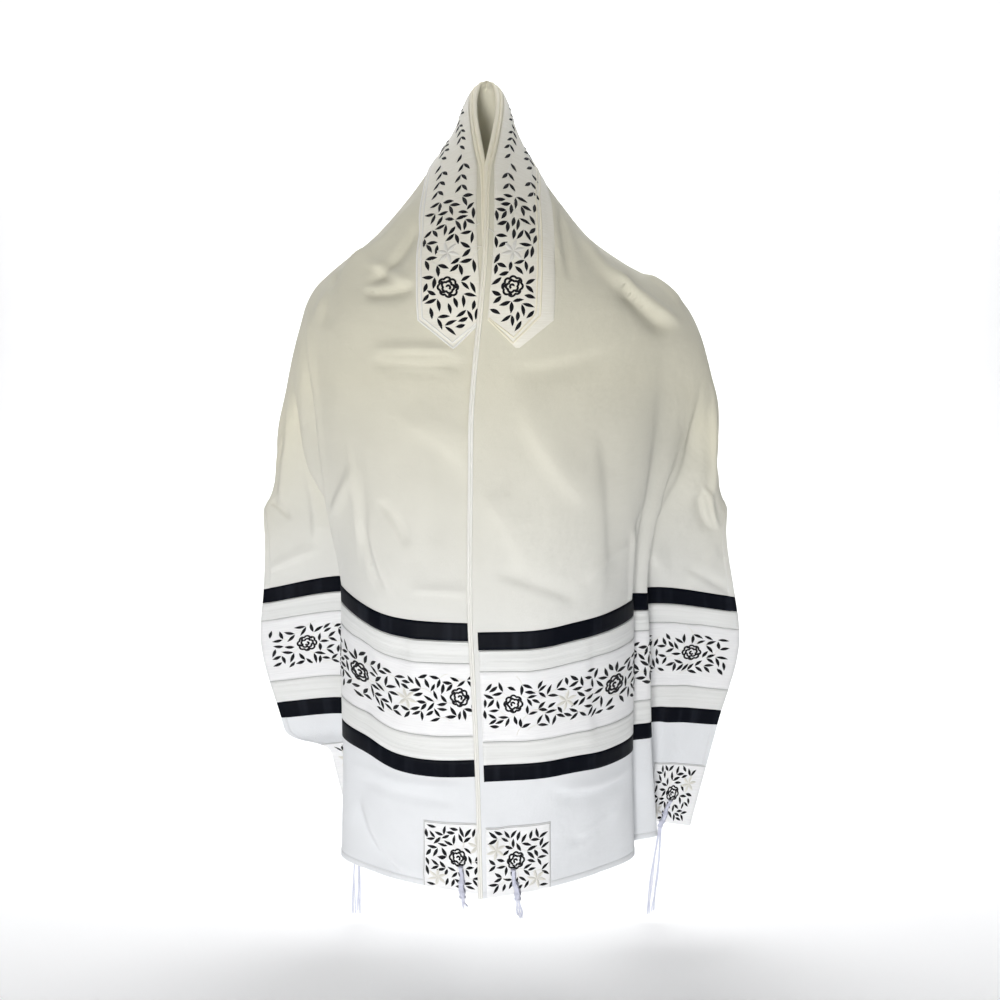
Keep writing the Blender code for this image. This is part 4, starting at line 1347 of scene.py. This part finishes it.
CORD = 0.00062
TUBE_TEXTURE = 0.0006
COIL_WIDE, COIL_DEEP = 0.0026, 0.0019
COIL_TURNS, COIL_STEPS = 26, 14
HEAD_SWAY = 0.0011
CORE_LANES = (-1, 0, 1)
CORE_APART, CORE_RADIUS = 0.0007, 0.0012
KNOTS = ((0.02, 0.80), (0.52, 1.25), (1.0, 1.20))  # how far down the head, and how wide by the coil
CORDS_WIDE, CORDS_DEEP = 4, 2
START_APART = (0.0011, 0.0017)
END_APART = (0.0014, 0.002)
GROUP_APART = 0.0022
SPREADS = {"front": 0.4, "side": 1.0}
CORD_SWAY = 0.0016
TWIST_PITCH, TWIST_STEPS = 0.0042, 6


def add_tube(store, path, radius, sides=6):
    """A round thread along a path of points, kept in a store of points, lengths and faces."""
    path = np.asarray(path)
    way = unit(np.gradient(path, axis=0))
    guide = np.where(np.abs(way[:, 1:2]) < 0.8, (0.0, 1.0, 0.0), (1.0, 0.0, 0.0))
    first = unit(np.cross(way, guide))
    second = np.cross(way, first)
    angles = np.linspace(0, 2 * math.pi, sides, endpoint=False)
    radius = np.broadcast_to(radius, len(path))[:, None, None]
    ring = first[:, None] * np.cos(angles)[:, None] + second[:, None] * np.sin(angles)[:, None]
    points = path[:, None] + ring * radius
    uv = np.stack(np.broadcast_arrays(run_along(path)[:, None], angles[None] * TUBE_TEXTURE), -1)
    index = store["count"] + numbered(len(path), sides)
    after = np.roll(index, -1, axis=1)
    faces = np.stack([index[:-1], after[:-1], after[1:], index[1:]], -1).reshape(-1, 4)
    store["faces"] += [*map(tuple, faces), tuple(index[0][::-1]), tuple(index[-1])]
    store["points"].append(points.reshape(-1, 3))
    store["uv"].append(uv.reshape(-1, 2))
    store["count"] += points.shape[0] * sides


def tassel_route(half, hole_v, foot_shift, end_shift, end_z):
    """The hole, the foot of the head, the end, and the ways across and out at the first two."""
    side = SIDES[half]
    places, crosses = [], []
    for up, shift in ((HOLE_UP, 0.0), (-FOOT_DOWN, foot_shift)):
        s = side * (HALF_LENGTH - up) + np.array((0.0, PROBE, 0.0))
        spot, along, across = cloth_point(s, hole_v + shift + np.array((0.0, 0.0, PROBE)))
        out = np.cross(along - spot, across - spot)
        crosses.append(np.array([way / np.linalg.norm(way) for way in (across - spot, out)]))
        places.append(spot + crosses[-1][1] * STAND_OFF)
    hole, foot = places
    return hole, foot, np.array((hole[0] + end_shift, foot[1], end_z)), crosses


def twisted(store, path, turns, radius):
    """Two threads twisted round a path."""
    shares = np.linspace(0, 1, len(path))
    way = unit(np.gradient(path, axis=0))
    first = unit(np.cross(way, (0.0, 1.0, 0.0)))
    second = np.cross(way, first)
    for phase in (0.0, math.pi):
        angle = 2 * math.pi * turns * shares + phase
        offset = first * np.cos(angle)[:, None] + second * np.sin(angle)[:, None]
        add_tube(store, path + offset * radius * 0.72, radius, 5)


def round_head(centre, ways, swell, angles):
    """Points round the head, at angles about its centre and a swell out."""
    wide, deep = COIL_WIDE * swell * np.cos(angles), COIL_DEEP * swell * np.sin(angles)
    return centre + ways[0] * wide[:, None] + ways[1] * deep[:, None]


def add_head(store, hole, foot, crosses, wander):
    """The wound head of a tassel, with its core and its knots."""
    shares = np.linspace(0, 1, COIL_TURNS * COIL_STEPS + 1)
    ways = crosses[0][:, None] + (crosses[1] - crosses[0])[:, None] * shares[:, None]
    sway = HEAD_SWAY * np.sin(7.5 * shares + wander.uniform(0, 3)) * np.sin(math.pi * shares)
    centre = hole + (foot - hole) * shares[:, None] + ways[0] * sway[:, None]
    bulges = 0.78 + 0.30 * np.exp(-((((shares * 3) % 1 - 0.5) / 0.17) ** 2))
    swell = bulges * (0.66 + 0.62 * np.sin(1.9 * shares) ** 2)
    add_tube(store, round_head(centre, ways, swell, 2 * math.pi * COIL_TURNS * shares), CORD * 1.15)
    for lane in CORE_LANES:
        add_tube(store, centre[::13] + crosses[0][0] * lane * CORE_APART, CORE_RADIUS, 8)

    angles = np.linspace(0, 2 * math.pi, 29)
    for knot, wide in KNOTS:
        ways = crosses[0] + (crosses[1] - crosses[0]) * knot
        middle = hole + (foot - hole) * (knot + 0.012 * np.sin(angles))[:, None]
        add_tube(store, round_head(middle, ways, wide, angles), CORD * 1.5, 7)


def add_cords(store, foot, ways, end, apart, wander):
    """The twisted cords from the foot of the head to the end, in two groups that stand apart."""
    turns = max(5, round(abs(end[2] - foot[2]) / TWIST_PITCH))
    along = np.linspace(0, 1, turns * TWIST_STEPS + 1)
    for i, j in np.ndindex(CORDS_WIDE, CORDS_DEEP):
        across, deep = i - (CORDS_WIDE - 1) / 2, j - (CORDS_DEEP - 1) / 2
        group = 1 if across > 0 else -1
        start = foot + ways[0] * across * START_APART[0] + ways[1] * deep * START_APART[1]
        end_x = (across * END_APART[0] + group * GROUP_APART) * apart
        stop = end + np.array((end_x, deep * END_APART[1], wander.uniform(0.0, 0.006)))
        sway = CORD_SWAY * np.sin(along * wander.uniform(4, 7) + wander.uniform(0, 6)) * along
        path = start + (stop - start) * along[:, None]
        path[:, 0] += sway + CORD_SWAY * apart * group * np.sin(math.pi * along) ** 2
        path[:, 1] += 0.0010 * np.sin(along * 5 + i) * along
        twisted(store, path, turns, CORD * 0.78)


def add_tassel(half, corner, hole_v, foot_shift, end_shift, end_z):
    """A wound head with knots hangs from its eyelet, and eight twisted cords hang from the head."""
    hole, foot, end, crosses = tassel_route(half, hole_v, foot_shift, end_shift, end_z)
    store = {"points": [], "uv": [], "faces": [], "count": 0}
    wander = random.Random(f"{half} {corner}")
    add_head(store, hole, foot, crosses, wander)
    add_cords(store, foot, crosses[1], end, SPREADS[corner], wander)
    points, uv = np.concatenate(store["points"]), np.concatenate(store["uv"])
    made = add_piece(
        f"tassel_{corner}_{half}_cords", points, store["faces"], uv, FINISHES["white_cord"]
    )
    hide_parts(f"tassel_{corner}_{half}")
    return made


EYELET_RADIUS = 0.0034
EYELET_WIDE, EYELET_RISE, EYELET_UP = 0.0016, 0.0008, 0.0015


def add_eyelets():
    """A stitched ring round each hole, where the cords come through the patch."""
    sewn = Sewn()
    for row in TASSELS:
        tassel = dict(zip(TASSEL_COLUMNS, row))
        side = SIDES[tassel["half"]]
        angles = np.linspace(0, 2 * math.pi, 24, endpoint=False)
        s = side * (HALF_LENGTH - HOLE_UP - EYELET_UP) + EYELET_RADIUS * np.cos(angles)
        v = tassel["hole_v"] + EYELET_RADIUS * np.sin(angles)
        sewn.add_line(np.stack([s, v], -1), EYELET_WIDE, EYELET_RISE, WORK_FOOT, True)
    return sewn.drape("eyelets", WHITE_THREAD, "white_satin")


# Floor, light and camera

FLOOR_DROP = 0.012
FLOOR_HALF, FLOOR_BACK = 6.0, 1.6
CURVE_RADIUS = 1.4
CAMERA_AT = (0.0, -0.965, -0.087)
CAMERA_PITCH = 9.2
FOCAL_PIXELS = 800.0
IMAGE_PIXELS = 1000.0
WORLD_STRENGTH = 0.08
LIGHT_TARGET = (0.0, 0.0, -0.25)
# Name, place, size, power, colour and target of each lamp
LAMPS = (
    ("key", (-0.33, -2.12, -0.68), 0.45, 39.0, (1.0, 0.99, 0.975), LIGHT_TARGET),
    ("low_fill", (0.6, -2.0, -0.7), 0.8, 3.0, (0.93, 0.97, 1.0), LIGHT_TARGET),
    ("back", (0.6, 1.6, 0.9), 1.2, 1.5, (1.0, 1.0, 1.0), LIGHT_TARGET),
    ("backdrop", (0.0, 0.9, 1.9), 3.0, 165.0, (0.985, 0.99, 1.0), (0.0, 4.0, -0.2)),
)


def add_stage():
    """A pale floor that curves up into a backdrop."""
    low = CAD_BOX[0][2] - FLOOR_DROP
    profile = [(y, low) for y in (-FLOOR_HALF, -2.0, 0.0, FLOOR_BACK)]
    for turn in np.linspace(0.1, math.pi / 2, 16):
        rise = CURVE_RADIUS * (1 - math.cos(turn))
        profile.append((FLOOR_BACK + CURVE_RADIUS * math.sin(turn), low + rise))
    profile.append((FLOOR_BACK + CURVE_RADIUS, low + FLOOR_HALF))
    points = [(x, y, z) for y, z in profile for x in (-FLOOR_HALF, FLOOR_HALF)]
    faces = [(2 * i, 2 * i + 1, 2 * i + 3, 2 * i + 2) for i in range(len(profile) - 1)]
    mesh = bpy.data.meshes.new("floor")
    mesh.from_pydata(points, [], faces)
    mesh.materials.append(floor_finish())
    mesh.shade_smooth()
    floor = bpy.data.objects.new("floor", mesh)
    bpy.context.scene.collection.objects.link(floor)


def add_area_light(name, at, size, energy, colour, target):
    """A square lamp of a size in metres and a power in watts, aimed at a target."""
    data = bpy.data.lights.new(name, "AREA")
    data.shape = "SQUARE"
    data.size = size
    data.energy = energy
    data.color = colour
    lamp = bpy.data.objects.new(name, data)
    lamp.location = at
    direction = np.array(target) - np.array(at)
    lamp.rotation_euler = (
        math.atan2(math.hypot(direction[0], direction[1]), -direction[2]),
        0.0,
        math.atan2(direction[1], direction[0]) - math.pi / 2,
    )
    bpy.context.scene.collection.objects.link(lamp)


def add_lights():
    """A low key light from the front left, two weak fills and a large lamp on the backdrop."""
    world = bpy.data.worlds.new("studio")
    world.use_nodes = True
    background = world.node_tree.nodes["Background"]
    background.inputs["Color"].default_value = (0.98, 0.99, 1.0, 1.0)
    background.inputs["Strength"].default_value = WORLD_STRENGTH
    bpy.context.scene.world = world
    for lamp in LAMPS:
        add_area_light(*lamp)
    bpy.context.scene.view_settings.view_transform = "Standard"


def add_camera():
    """The photo's view: in front, a little below the middle and pitched down."""
    data = bpy.data.cameras.new("camera")
    data.sensor_width = 36.0
    data.lens = data.sensor_width * FOCAL_PIXELS / IMAGE_PIXELS
    camera = bpy.data.objects.new("camera", data)
    camera.location = CAMERA_AT
    camera.rotation_euler = (math.radians(90.0 - CAMERA_PITCH), 0.0, 0.0)
    bpy.context.scene.collection.objects.link(camera)
    bpy.context.scene.camera = camera


add_camera()
add_lights()
add_stage()
CLOTH = add_cloth()
ON_IT = [add_edging(), *add_hems(), *add_trims(), add_collar(), add_piping()]
for SEED, HALF in ((11, "right"), (12, "left")):
    ON_IT += sew_bed("band_leaves", band_bed(SEED), HALF)
for SEED, HALF in ((21, "right"), (22, "left")):
    ON_IT += sew_bed("front_patch_leaves", patch_bed(SEED, 0.0, 1), HALF)
    ON_IT += sew_bed("side_patch_leaves", patch_bed(SEED + 2, WIDTH, -1), HALF)
ON_IT += sew_bed("collar_leaves", collar_bed(25, RIGHT_MARGIN, rose_v=0.0315, near=0.0112), "right")
ON_IT += sew_bed("collar_leaves", collar_bed(26, 0.0, rose_v=0.0420, near=0.0125), "left")
ON_IT += sew_neck_vines()
ON_IT += add_stitching()
ON_IT.append(add_eyelets())
for ROW in TASSELS:
    add_tassel(*ROW)
